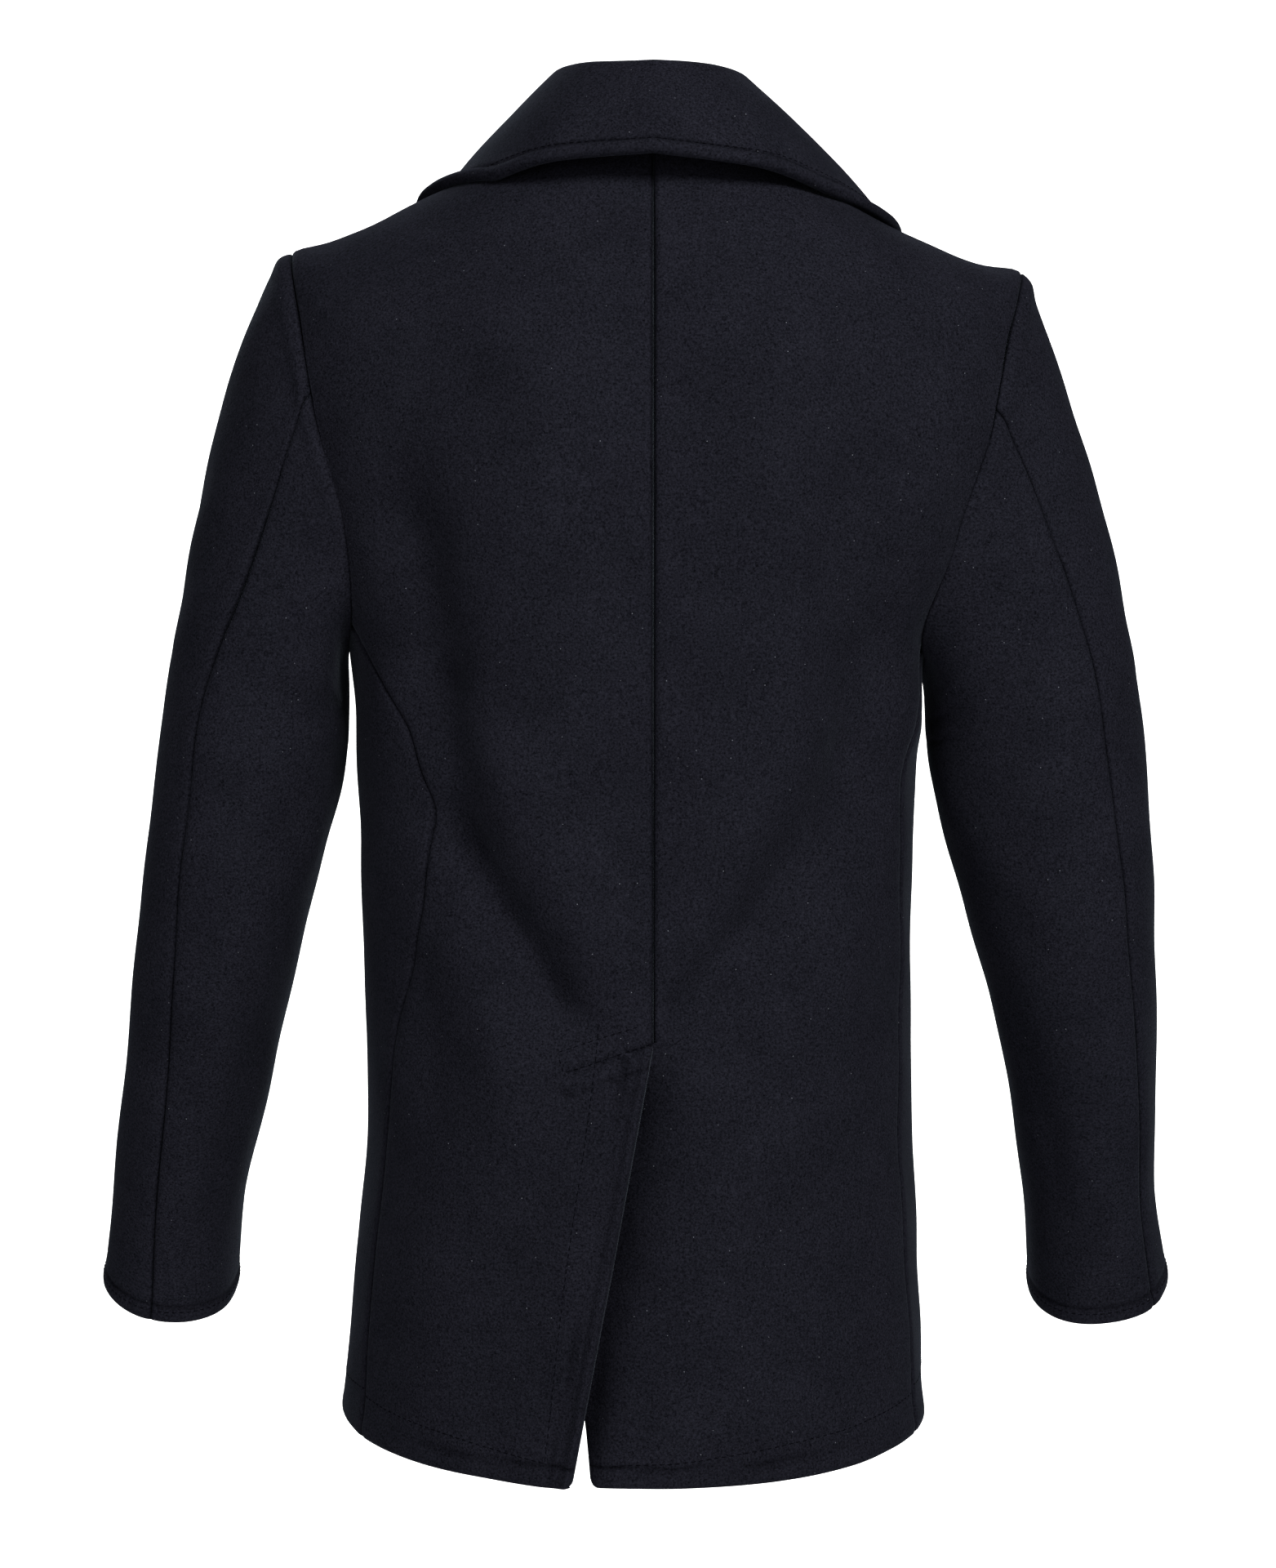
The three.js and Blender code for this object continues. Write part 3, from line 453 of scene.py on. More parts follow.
# Studio and camera, in metres
FLOOR_Z = -2.1
FLOOR_SIZE = 12
BACKDROP_Y = -3.9
BACKDROP_WIDE = 2.8
BACKDROP_HIGH = 2.9
WHITE_GLOW = 0.75
WORLD_STRENGTH = 0.12
LAMPS_AIM = (0, 0, -0.38)
# Place, width, height and power of each lamp
LAMPS = {
    "key_right": ((-1.1, 2.3, 2.0), 1.1, 1.1, 200),
    "fill_left": ((1.5, 2.6, 0.2), 1.5, 1.8, 26),
    "front": ((0.7, -2.5, 1.8), 1.4, 1.4, 170),
}
EYE = (0.009, 2.3, -0.14)
EYE_TARGET = (0.009, 0, -0.3725)
LENS = 86.68
SENSOR = 36


def sign(side):
    return 1 if side == "left" else -1


def clamp01(t):
    return np.clip(t, 0.0, 1.0)


def smooth(t):
    t = clamp01(t)
    return t * t * (3 - 2 * t)


def signed_power(value, power):
    return np.sign(value) * np.abs(value) ** power


def unit(vectors):
    length = np.linalg.norm(vectors, axis=-1, keepdims=True)
    return vectors / np.maximum(length, 1e-9)


def column(rows, name, position):
    """Smooth value of one column at a position counted in rows, never overshooting."""
    values = rows[name]
    step = np.diff(values)
    before, after = step[:-1], step[1:]
    both = before * after > 0
    total = np.where(both, before + after, 1.0)
    inner = np.where(both, 2 * before * after / total, 0.0)
    slope = np.concatenate(([step[0]], inner, [step[-1]]))
    position = np.asarray(position, dtype=float)
    i = np.clip(np.floor(position).astype(int), 0, len(values) - 2)
    t = position - i
    t2 = t * t
    t3 = t2 * t
    return (
        (2 * t3 - 3 * t2 + 1) * values[i]
        + (t3 - 2 * t2 + t) * slope[i]
        + (3 * t2 - 2 * t3) * values[i + 1]
        + (t3 - t2) * slope[i + 1]
    )


def half_width(x, level):
    return np.where(x >= 0, column(BODY, "left", level), column(BODY, "right", level))


def half_depth(y, level):
    return np.where(y >= 0, column(BODY, "back", level), column(BODY, "front", level))


def body_point(angle, level):
    """A point of the body's surface: angle 0 is the centre back, a quarter turn the left side."""
    angle, level = np.broadcast_arrays(np.asarray(angle, dtype=float), np.asarray(level, dtype=float))
    sine, cosine = np.sin(angle), np.cos(angle)
    side = np.where(sine >= 0, column(BODY, "leftZ", level), column(BODY, "rightZ", level))
    middle = np.where(cosine >= 0, column(BODY, "backZ", level), column(BODY, "frontZ", level))
    rise = np.abs(sine) ** column(BODY, "peak", level)
    return np.stack((
        half_width(sine, level) * signed_power(sine, SECTION_POWER),
        half_depth(cosine, level) * signed_power(cosine, SECTION_POWER),
        middle + (side - middle) * rise,
    ), axis=-1)


def body_normal(angle, level):
    around = body_point(angle + SLOPE_BODY, level) - body_point(angle - SLOPE_BODY, level)
    high = np.minimum(level + SLOPE_BODY, NECK_LEVEL)
    low = np.maximum(level - SLOPE_BODY, 0)
    return unit(np.cross(body_point(angle, high) - body_point(angle, low), around))


def locate(x, z, face):
    """Angle and level of the body point seen at x, z on the back or on the front."""
    x, z = np.broadcast_arrays(np.asarray(x, dtype=float), np.asarray(z, dtype=float))
    low = np.zeros(x.shape)
    high = np.full(x.shape, float(NECK_LEVEL))
    angle = low
    for _ in range(HALVINGS):
        level = (low + high) / 2
        lean = np.arcsin(np.minimum(1, np.abs(x) / half_width(x, level)) ** (1 / SECTION_POWER))
        angle = np.sign(x) * (lean if face == "back" else np.pi - lean)
        if face == "front":
            angle = np.where(x == 0, np.pi, angle)
        below = body_point(angle, level)[..., 2] < z
        low = np.where(below, level, low)
        high = np.where(below, high, level)
    return angle, (low + high) / 2


def capsule_sum(folds, names, across, along):
    """Sum of soft ridges and troughs, each laid along a short line."""
    a1, b1, a2, b2 = (folds[name] for name in names)
    height = np.zeros(np.shape(across))
    for k in range(len(a1)):
        da, db = a2[k] - a1[k], b2[k] - b1[k]
        t = clamp01(((across - a1[k]) * da + (along - b1[k]) * db) / (da * da + db * db))
        away = np.hypot(across - a1[k] - da * t, along - b1[k] - db * t)
        height = height + folds["high"][k] * np.exp(-((away / folds["width"][k]) ** 2))
    return height


def fold_height(points):
    x, y, z = points[..., 0], points[..., 1], points[..., 2]
    names = ("x1", "z1", "x2", "z2")
    high = np.where(y >= 0, capsule_sum(BACK_FOLDS, names, x, z), capsule_sum(FRONT_FOLDS, names, x, z))
    return FOLD_GAIN * high * smooth((np.abs(y) - FOLD_FADE[0]) / FOLD_FADE[1])


def uneven(points, high):
    """Slow waves that keep the cloth from looking machined."""
    x, y, z = points[..., 0], points[..., 1], points[..., 2]
    waves = (
        np.sin(x / 13.0 + z / 31.0 + 1.3) * np.sin(z / 19.0 - y / 23.0)
        + 0.8 * np.sin(x / 23.0 - z / 47.0 + y / 17.0 + 0.4)
        + 0.5 * np.sin(x / 9.0 + y / 11.0 - z / 13.0 + 2.0)
    )
    return high * waves


def bump(distance, centre, width, high):
    return high * np.exp(-(((distance - centre) / width) ** 2))


def hollows(seams, stitches=(), faint=()):
    """How much light the cloth keeps: less in a seam and along sunken stitches."""
    lines = [(distance, 0, SEAM_DARK) for distance in seams]
    lines += [(distance, 0, SEAM_FAINT) for distance in faint]
    lines += [(distance, stitch, STITCH_DARK) for distance, stitch in stitches]
    shade = 1.0
    for distance, centre, dark in lines:
        shade = shade * (1 - bump(distance, centre, *dark))
    return shade


def on_body(angle, level, out=0.0):
    point = body_point(angle, level)
    normal = body_normal(angle, level)
    return point + normal * (out + fold_height(point))[..., None], normal


def spread(length, step, near_start, near_end, fixed=()):
    """Places from 0 to 1 along a length: even steps, with chosen ones near both ends."""
    chosen = [0.0, 1.0, *fixed]
    chosen += [d / length for d in near_start]
    chosen += [1 - d / length for d in near_end]
    chosen = np.unique(chosen)
    even = np.linspace(0, 1, int(round(length / step)) + 1)
    apart = np.abs(even[:, None] - chosen[None, :]).min(axis=1) * length
    return np.unique(np.concatenate((chosen, even[apart > LEAST_STEP])))


def nearest(places, wanted):
    return int(np.argmin(np.abs(places - wanted)))


def distances(points):
    """Distance of each grid point from the four borders, along the lines of the grid."""
    across = np.linalg.norm(np.diff(points, axis=1), axis=2)
    along = np.linalg.norm(np.diff(points, axis=0), axis=2)
    start = np.concatenate((np.zeros((len(points), 1)), np.cumsum(across, axis=1)), axis=1)
    bottom = np.concatenate((np.zeros((1, points.shape[1])), np.cumsum(along, axis=0)), axis=0)
    return {
        "start": start,
        "end": start[:, -1:] - start,
        "bottom": bottom,
        "top": bottom[-1:, :] - bottom,
    }


def round_corner(points, radius):
    """Rounds the corner where the first row and the first column meet."""
    d = distances(points)
    across = unit(np.gradient(points, axis=1))
    along = unit(np.gradient(points, axis=0))
    a = np.maximum(radius - d["start"], 0)
    b = np.maximum(radius - d["bottom"], 0)
    keep = np.maximum(a, b) / np.maximum(np.hypot(a, b), 1e-9)
    inside = (a > 0) & (b > 0)
    shift_a = np.where(inside, a * (1 - keep), 0)
    shift_b = np.where(inside, b * (1 - keep), 0)
    return points + across * shift_a[..., None] + along * shift_b[..., None]


def round_off(distance, radius):
    return np.sqrt(np.maximum(0, 1 - (1 - clamp01(distance / radius)) ** 2))


def rounded(d, start, end, bottom, top):
    """Round edges along the four borders, each with its own radius."""
    radii = {"start": start, "end": end, "bottom": bottom, "top": top}
    return np.minimum.reduce([round_off(d[name], radius) for name, radius in radii.items()])


def turned_edge(distance, stitch, edge):
    """Extra thickness of an edge that is turned in, up to its stitches and a little past them."""
    return (edge - CLOTH) * smooth((stitch + THICK_PAST - distance) / THICK_FADE)


def blend_borders(bottom, top, start, end, u, v):
    """Blends four border lines of surface places into a grid of places."""
    grids = []
    for b, t, s, e in zip(bottom, top, start, end):
        b, t, s, e = (np.asarray(line, dtype=float) for line in (b, t, s, e))
        u_, v_ = u[None, :], v[:, None]
        ruled = (1 - v_) * b[None, :] + v_ * t[None, :]
        crossed = (1 - u_) * s[:, None] + u_ * e[:, None]
        corners = (1 - v_) * ((1 - u_) * b[0] + u_ * b[-1]) + v_ * ((1 - u_) * t[0] + u_ * t[-1])
        grids.append(ruled + crossed - corners)
    return grids


def new_object(name, points, faces):
    mesh = bpy.data.meshes.new(name)
    mesh.from_pydata((points * MM).tolist(), [], faces)
    mesh.polygons.foreach_set("use_smooth", [True] * len(mesh.polygons))
    mesh.update()
    piece = bpy.data.objects.new(name, mesh)
    bpy.context.scene.collection.objects.link(piece)
    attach(piece, "root")
    return piece


def shell(node, points, normals, thickness, relief, rounding, shade):
    """A thin closed sheet over a grid, in place of a node. Its two faces meet in a round edge."""
    rows, columns = points.shape[:2]
    thickness = np.broadcast_to(thickness, (rows, columns))
    half = thickness / 2
    outer = points + normals * (-half + (half + relief) * rounding)[..., None]
    inner = points + normals * (-half - half * rounding)[..., None]
    outer_id = np.arange(rows * columns).reshape(rows, columns)
    inner_id = outer_id.copy()
    inside = np.arange((rows - 2) * (columns - 2)).reshape(rows - 2, columns - 2)
    inner_id[1:-1, 1:-1] = rows * columns + inside

    def quads(ids):
        return np.stack((ids[:-1, :-1], ids[:-1, 1:], ids[1:, 1:], ids[1:, :-1]), axis=-1).reshape(-1, 4)

    across = points[rows // 2, columns // 2 + 1] - points[rows // 2, columns // 2]
    along = points[rows // 2 + 1, columns // 2] - points[rows // 2, columns // 2]
    facing = np.dot(np.cross(across, along), normals[rows // 2, columns // 2]) > 0
    front, back = quads(outer_id), quads(inner_id)
    if facing:
        back = back[:, ::-1]
    else:
        front = front[:, ::-1]
    vertices = np.concatenate((outer.reshape(-1, 3), inner[1:-1, 1:-1].reshape(-1, 3)))
    piece = new_object(f"cloth_{node}", vertices, np.concatenate((front, back)).tolist())
    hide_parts(node)
    values = np.ones(len(vertices))
    values[:rows * columns] = np.broadcast_to(shade, (rows, columns)).reshape(-1)
    piece.data.attributes.new("shade", "FLOAT", "POINT").data.foreach_set("value", values)
    return piece, outer


THREAD_PARTS = []


def resample(line, pitch):
    step = np.linalg.norm(np.diff(line, axis=0), axis=1)
    length = np.concatenate(([0], np.cumsum(step)))
    return length, np.arange(pitch / 2, length[-1] - pitch / 2, pitch)


def sew(line, normals, pitch=STITCH_PITCH, length=STITCH_LENGTH, radius=STITCH_RADIUS):
    """A row of topstitches along a line of points on the cloth."""
    measured, centres = resample(line, pitch)
    if len(centres) == 0:
        return
    along = np.array(STITCH_ALONG) * length
    lift = np.array(STITCH_LIFT)
    girth = np.array(STITCH_GIRTH)[None, :, None, None] * radius
    s = centres[:, None] + along[None, :]
    middle = np.stack([np.interp(s, measured, line[:, k]) for k in range(3)], axis=-1)
    up = unit(np.stack([np.interp(s, measured, normals[:, k]) for k in range(3)], axis=-1))
    middle = middle + up * lift[None, :, None]
    run = unit(middle[:, -1] - middle[:, 0])[:, None, :]
    side = unit(np.cross(np.broadcast_to(run, up.shape), up))
    turns = (np.arange(STITCH_SIDES) * 2 * np.pi / STITCH_SIDES)[None, None, :, None]
    ring = (
        middle[:, :, None, :]
        + side[:, :, None, :] * (np.cos(turns) * girth)
        + up[:, :, None, :] * (np.sin(turns) * girth)
    )
    THREAD_PARTS.append(ring)


def sew_grid(outer, normals, rows, columns):
    """Topstitches along part of a row or column of a piece's outer face."""
    sew(outer[rows, columns], normals[rows, columns])


def thread_object(name):
    """All the topstitches as one piece."""
    vertices, faces, offset = [], [], 0
    for rings in THREAD_PARTS:
        count, stations, sides, _ = rings.shape
        ids = np.arange(count * stations * sides).reshape(count, stations, sides) + offset
        after = np.roll(ids, -1, axis=2)
        walls = np.stack((ids[:, :-1], after[:, :-1], after[:, 1:], ids[:, 1:]), axis=-1)
        faces += walls.reshape(-1, 4).tolist()
        faces += ids[:, 0, ::-1].tolist()
        faces += ids[:, -1, :].tolist()
        vertices.append(rings.reshape(-1, 3))
        offset += count * stations * sides
    return new_object(name, np.concatenate(vertices), faces)


def armhole_place(side, turn):
    t = np.radians(turn)
    reach = np.where(np.sin(t) > 0, ARMHOLE_BACK_REACH, ARMHOLE_FRONT_REACH)
    middle = (TIP_LEVEL + ARMPIT_LEVEL[side]) / 2
    half = (TIP_LEVEL - ARMPIT_LEVEL[side]) / 2
    return sign(side) * np.radians(90 - reach * np.sin(t)), middle + half * np.cos(t)


def side_line(side, j, turn_rows, turns):
    """The side-back seam and then the armhole, as places on the body."""
    seam = SIDE_SEAM[side]
    last = len(seam["x"]) - 1
    meets = armhole_place(side, SIDE_SEAM_MEETS)
    position = np.minimum(j, SIDE_ROWS) / SIDE_ROWS * (last + SEAM_LATE)
    capped = np.minimum(position, last)
    angle, level = locate(sign(side) * column(seam, "x", capped), column(seam, "z", capped), "back")
    late = smooth((position - last) / SEAM_LATE)
    hole_angle, hole_level = armhole_place(side, np.interp(j, turn_rows, turns))
    on_hole = j > SIDE_ROWS
    return (
        np.where(on_hole, hole_angle, angle + (meets[0] - angle) * late),
        np.where(on_hole, hole_level, level + (meets[1] - level) * late),
    )


def top_line(side, neck_angle, share, u):
    along_neck = clamp01(u / share)
    along_shoulder = clamp01((u - share) / (1 - share))
    angle = neck_angle + (90 - neck_angle) * along_neck
    return sign(side) * np.radians(angle), NECK_LEVEL + (TIP_LEVEL - NECK_LEVEL) * along_shoulder


def vent_swing(z):
    return VENT_SWING * clamp01((VENT_TOP_Z - z) / (VENT_TOP_Z - BODY["backZ"][0]))


def underlap_reach(z):
    share = clamp01((z - BODY["backZ"][0]) / (VENT_TOP_Z - BODY["backZ"][0]))
    reach = VENT_UNDERLAP_HEM + (VENT_UNDERLAP_TOP - VENT_UNDERLAP_HEM) * share
    return reach * smooth((VENT_TOP_Z - z) / VENT_UNDERLAP_SLANT)


def edge_relief(distance, stitch, high):
    """A turned edge: puffed between its rim and its topstitching, sunk along the stitches."""
    puff = high * np.sin(np.pi * clamp01(distance / stitch)) ** EDGE_POWER
    past, width, rise = EDGE_SHOULDER
    return puff + bump(distance, stitch, *EDGE_GROOVE) + bump(distance, stitch + past, width, rise)


def seam_relief(distance, high=SEAM_PUFF):
    """A seam pulls the cloth in along its line, and the allowances inside lift it on both sides."""
    ends = smooth((SEAM_ALLOWANCE + SEAM_FALL - distance) / SEAM_FALL)
    return bump(distance, 0, SEAM_PULL_WIDTH, -SEAM_PULL) + high * smooth(distance / SEAM_RISE) * ends


def seam_thick(d, names):
    nearest_seam = np.minimum.reduce([d[name] for name in names])
    return (SEAM_CLOTH - CLOTH) * smooth((SEAM_THICK_ENDS - nearest_seam) / SEAM_RISE)


def bar_distance(x, z):
    (x1, z1), (x2, z2) = VENT_BAR
    run = np.hypot(x2 - x1, z2 - z1)
    return ((x - x1) * (z2 - z1) - (z - z1) * (x2 - x1)) / run


def panel_places(side, start, rows, turns, neck_angle, neck_share, u, v):
    """Places on the body for a panel whose first border is given, out to the side and the shoulder."""
    end = side_line(side, v * rows, (SIDE_ROWS, SEAM_MEETS_ROW, rows), (SIDE_SEAM_MEETS, *turns))
    top = top_line(side, neck_angle, neck_share, u)
    bottom = [first[0] + (last[0] - first[0]) * u for first, last in zip(start, end)]
    return blend_borders(bottom, top, start, end, u, v)


def panel_relief(relief, d, points):
    """Adds what every panel has: the hem, the seams at its side and top, and some unevenness."""
    relief = relief + edge_relief(d["bottom"], HEM_STITCH, HEM_PUFF)
    side_seam = seam_relief(d["end"]) * smooth(d["top"] / SEAM_STARTS)
    return relief + side_seam + seam_relief(d["top"]) + uneven(points, UNEVEN)


def side_shades(d, v, rows):
    """Distances from the armhole, from the shoulder, and from the fainter seam below the armhole."""
    on_hole = smooth(v * rows - SIDE_ROWS + 0.5)[:, None]
    return [d["end"] + FAR_OFF * (1 - on_hole), d["top"]], [d["end"] + FAR_OFF * on_hole]


def back_panel(side):
    left = side == "left"
    v = spread(BACK_LENGTH, STEP, NEAR_HEM, NEAR_SEAM, BAR_ROWS[side])
    u = spread(BACK_WIDTH, STEP, NEAR_VENT if left else NEAR_UNDERLAP, NEAR_SEAM, (BACK_NECK_SHARE,))
    vent_share = VENT_ROWS / BACK_ROWS
    hem_z, neck_z = BODY["backZ"][0], BODY["backZ"][NECK_LEVEL]
    low_z = hem_z + (VENT_TOP_Z - hem_z) * v / vent_share
    high_z = VENT_TOP_Z + (neck_z - VENT_TOP_Z) * (v - vent_share) / (1 - vent_share)
    z = np.where(v < vent_share, low_z, high_z)
    start = list(locate(vent_swing(z) if left else underlap_reach(z), z, "back"))
    start[0][-1], start[1][-1] = 0, NECK_LEVEL
    angle, level = panel_places(side, start, BACK_ROWS, (ELBOW_SEAM_MEETS, 0), 0, BACK_NECK_SHARE, u, v)
    flat = body_point(angle, level)
    above, length = VENT_OPENS[side]
    low = smooth((VENT_TOP_Z + above - flat[..., 2]) / length)
    near = flat[..., 0] - vent_swing(flat[..., 2])
    if left:
        out = VENT_LIFT * low * smooth(1 - near / VENT_LIFT_REACH)
    else:
        out = -VENT_SINK * low * smooth(1 + near / VENT_SINK_REACH)
    points, normals = on_body(angle, level, out)
    points = round_corner(points, CORNER_RADIUS)
    d = distances(points)
    in_vent = smooth((VENT_TOP_Z + VENT_STARTS[0] - points[..., 2]) / VENT_STARTS[1])
    relief = seam_relief(d["start"], CENTRE_PUFF) * (1 - in_vent)
    stitches = [(d["bottom"], HEM_STITCH)]
    if left:
        across = bar_distance(points[..., 0], points[..., 2])
        near_bar = smooth((BAR_FADE[0] - points[..., 0]) / BAR_FADE[1])
        bars = bump(across, 0, *BAR_GROOVE) + bump(across, VENT_BAR_WIDTH, *BAR_GROOVE)
        bars = bars + bump(across, VENT_BAR_WIDTH / 2, *BAR_PUFF)
        vent_relief = bump(d["start"], *VENT_ROLL) + bump(d["start"], *VENT_DIP)
        vent_relief = vent_relief + bump(d["start"], VENT_STITCH, *VENT_GROOVE)
        relief = relief + vent_relief * in_vent + bars * near_bar
        off_bar = FAR_OFF * (1 - near_bar)
        stitches.append((d["start"] + FAR_OFF * (1 - in_vent), VENT_STITCH))
        stitches += [(np.abs(across - line) + off_bar, 0) for line in (0, VENT_BAR_WIDTH)]
    relief = panel_relief(relief, d, points)
    thick_vent = turned_edge(d["start"], VENT_STITCH, VENT_EDGE if left else HEM) * in_vent
    thick_hem = turned_edge(d["bottom"], HEM_STITCH, HEM)
    thickness = CLOTH + np.maximum.reduce([thick_vent, thick_hem, seam_thick(d, ("start", "end", "top"))])
    start_radius = SEAM_ROUND + (VENT_ROUND - SEAM_ROUND) * in_vent
    rounding = rounded(d, start_radius, SEAM_ROUND, EDGE_ROUND, SEAM_ROUND)
    seams, faint = side_shades(d, v, BACK_ROWS)
    shade = hollows([d["start"] + FAR_OFF * in_vent, *seams], stitches, faint)
    if not left:
        shade = shade * (1 - VENT_SHADE * low * smooth(1 + near / VENT_SHADE_REACH))
    piece, outer = shell(f"back_{side}", points, normals, thickness, relief, rounding, shade)
    hem_row = nearest(v, HEM_STITCH / BACK_LENGTH)
    vent_column = nearest(u, VENT_STITCH / BACK_WIDTH)
    from_column = vent_column if left else UNDERLAP_STITCH_COLUMN
    sew_grid(outer, normals, hem_row, slice(from_column, -1))
    if left:
        rows = (z < VENT_TOP_Z - STITCH_CLEAR) & (np.arange(len(v)) >= hem_row)
        sew_grid(outer, normals, rows, vent_column)
        sew_vent_bars(piece)
    return piece


def sew_vent_bars(piece):
    """Two slanted rows of stitches and a short end across the top of the vent."""
    tree = BVHTree.FromPolygons(
        [v.co for v in piece.data.vertices], [p.vertices[:] for p in piece.data.polygons]
    )
    (x1, z1), (x2, z2) = VENT_BAR
    up = VENT_BAR_WIDTH * np.array((z1 - z2, x2 - x1)) / np.hypot(x2 - x1, z2 - z1)
    a, b = np.array((x1 + BAR_START[0], z1 + BAR_START[1])), np.array((x2, z2))
    for first, last in ((a, b), (b, b + up), (b + up, a + up)):
        spots, facing = [], []
        for t in np.linspace(0, 1, BAR_PLACES):
            x, z = first + (last - first) * t
            hit, normal, _, _ = tree.ray_cast(Vector((x * MM, RAY_FROM_Y, z * MM)), Vector((0, -1, 0)))
            if hit is not None:
                spots.append(np.array(hit) / MM)
                facing.append(np.array(normal))
        if len(spots) > 2:
            sew(np.array(spots), np.array(facing))


def lap_sink(x, z):
    share = smooth((z - LAP_SINK_Z[0]) / LAP_SINK_Z[1])
    amount = LAP_SINK_LOW + (LAP_SINK_HIGH - LAP_SINK_LOW) * share
    return amount * smooth((x - LAP_SINK_X[0]) / LAP_SINK_X[1])


def front_sample(side, angle, level, out=0.0):
    flat = body_point(angle, level)
    sunk = 0.0
    if side == "right":
        sunk = np.where(flat[..., 1] < 0, lap_sink(flat[..., 0], flat[..., 2]), 0.0)
    return on_body(angle, level, out - sunk)


def unwrap(angle, side):
    s = sign(side)
    return np.where(s * angle < 0, angle + s * 2 * np.pi, angle)


def roll_top():
    return body_point(np.radians(NECK_FRONT_ANGLE), NECK_LEVEL)


def front_panel(side):
    s = sign(side)
    v = spread(FRONT_LENGTH, STEP, NEAR_HEM, NEAR_SEAM)
    u = spread(FRONT_WIDTH, STEP, NEAR_FRONT, NEAR_SEAM, (FRONT_NECK_SHARE,))
    top_point = roll_top()
    share = BREAK_ROW / FRONT_ROWS
    low, high = clamp01(v / share), clamp01((v - share) / (1 - share))
    hem_z = BODY["frontZ"][0]
    x = -LAP + (top_point[0] + LAP) * high
    z = np.where(v < share, hem_z + (BREAK_Z - hem_z) * low, BREAK_Z + (top_point[2] - BREAK_Z) * high)
    start_angle, start_level = locate(s * x, z, "front")
    start = [unwrap(start_angle, side), start_level]
    start[0][-1], start[1][-1] = s * np.radians(NECK_FRONT_ANGLE), NECK_LEVEL
    turns = (FRONT_SEAM_MEETS, 360)
    places = panel_places(side, start, FRONT_ROWS, turns, NECK_FRONT_ANGLE, FRONT_NECK_SHARE, u, v)
    points, normals = front_sample(side, *places)
    points = round_corner(points, CORNER_RADIUS)
    d = distances(points)
    below_break = smooth((BREAK_Z + BREAK_FADE[0] - points[..., 2]) / BREAK_FADE[1])
    relief = panel_relief(edge_relief(d["start"], FRONT_STITCH, FRONT_PUFF) * below_break, d, points)
    thick_front = turned_edge(d["start"], FRONT_STITCH, FRONT_EDGE) * below_break
    thick_hem = turned_edge(d["bottom"], HEM_STITCH, HEM)
    thickness = CLOTH + np.maximum.reduce([thick_front, thick_hem, seam_thick(d, ("end", "top"))])
    rounding = rounded(d, EDGE_ROUND, SEAM_ROUND, EDGE_ROUND, SEAM_ROUND)
    stitches = [(d["bottom"], HEM_STITCH), (d["start"] + FAR_OFF * (1 - below_break), FRONT_STITCH)]
    seams, faint = side_shades(d, v, FRONT_ROWS)
    shade = hollows(seams, stitches, faint)
    piece, outer = shell(f"front_{side}", points, normals, thickness, relief, rounding, shade)
    hem_row = nearest(v, HEM_STITCH / FRONT_LENGTH)
    edge_column = nearest(u, FRONT_STITCH / FRONT_WIDTH)
    sew_grid(outer, normals, hem_row, slice(edge_column, -1))
    rows = (z < BREAK_Z - STITCH_CLEAR) & (np.arange(len(v)) >= hem_row)
    sew_grid(outer, normals, rows, edge_column)
    return piece


def lay_on_front(name, side, line_a, line_b, u, v, gap, thickness, sewn, stitch, puff):
    """A piece that lies on a front, between two lines of x, z points seen from the front."""
    s = sign(side)
    a = np.stack([np.interp(v, line_a[0], line_a[k]) for k in (1, 2)], axis=-1)
    b = np.stack([np.interp(v, line_b[0], line_b[k]) for k in (1, 2)], axis=-1)
    spot = a[:, None, :] + (b - a)[:, None, :] * u[None, :, None]
    angle, level = locate(s * spot[..., 0], spot[..., 1], "front")
    points, normals = front_sample(side, unwrap(angle, side), level, gap + thickness)
    d = distances(points)
    edge = np.minimum.reduce([d[border] for border in sewn])
    relief = edge_relief(edge, stitch, puff) + uneven(points, UNEVEN_FLAT)
    rounding = rounded(d, LAID_ROUND, LAID_ROUND, LAID_ROUND, LAID_ROUND)
    shade = hollows([], [(edge, stitch)])
    piece, outer = shell(f"{name}_{side}", points, normals, thickness, relief, rounding, shade)
    return piece, outer, normals


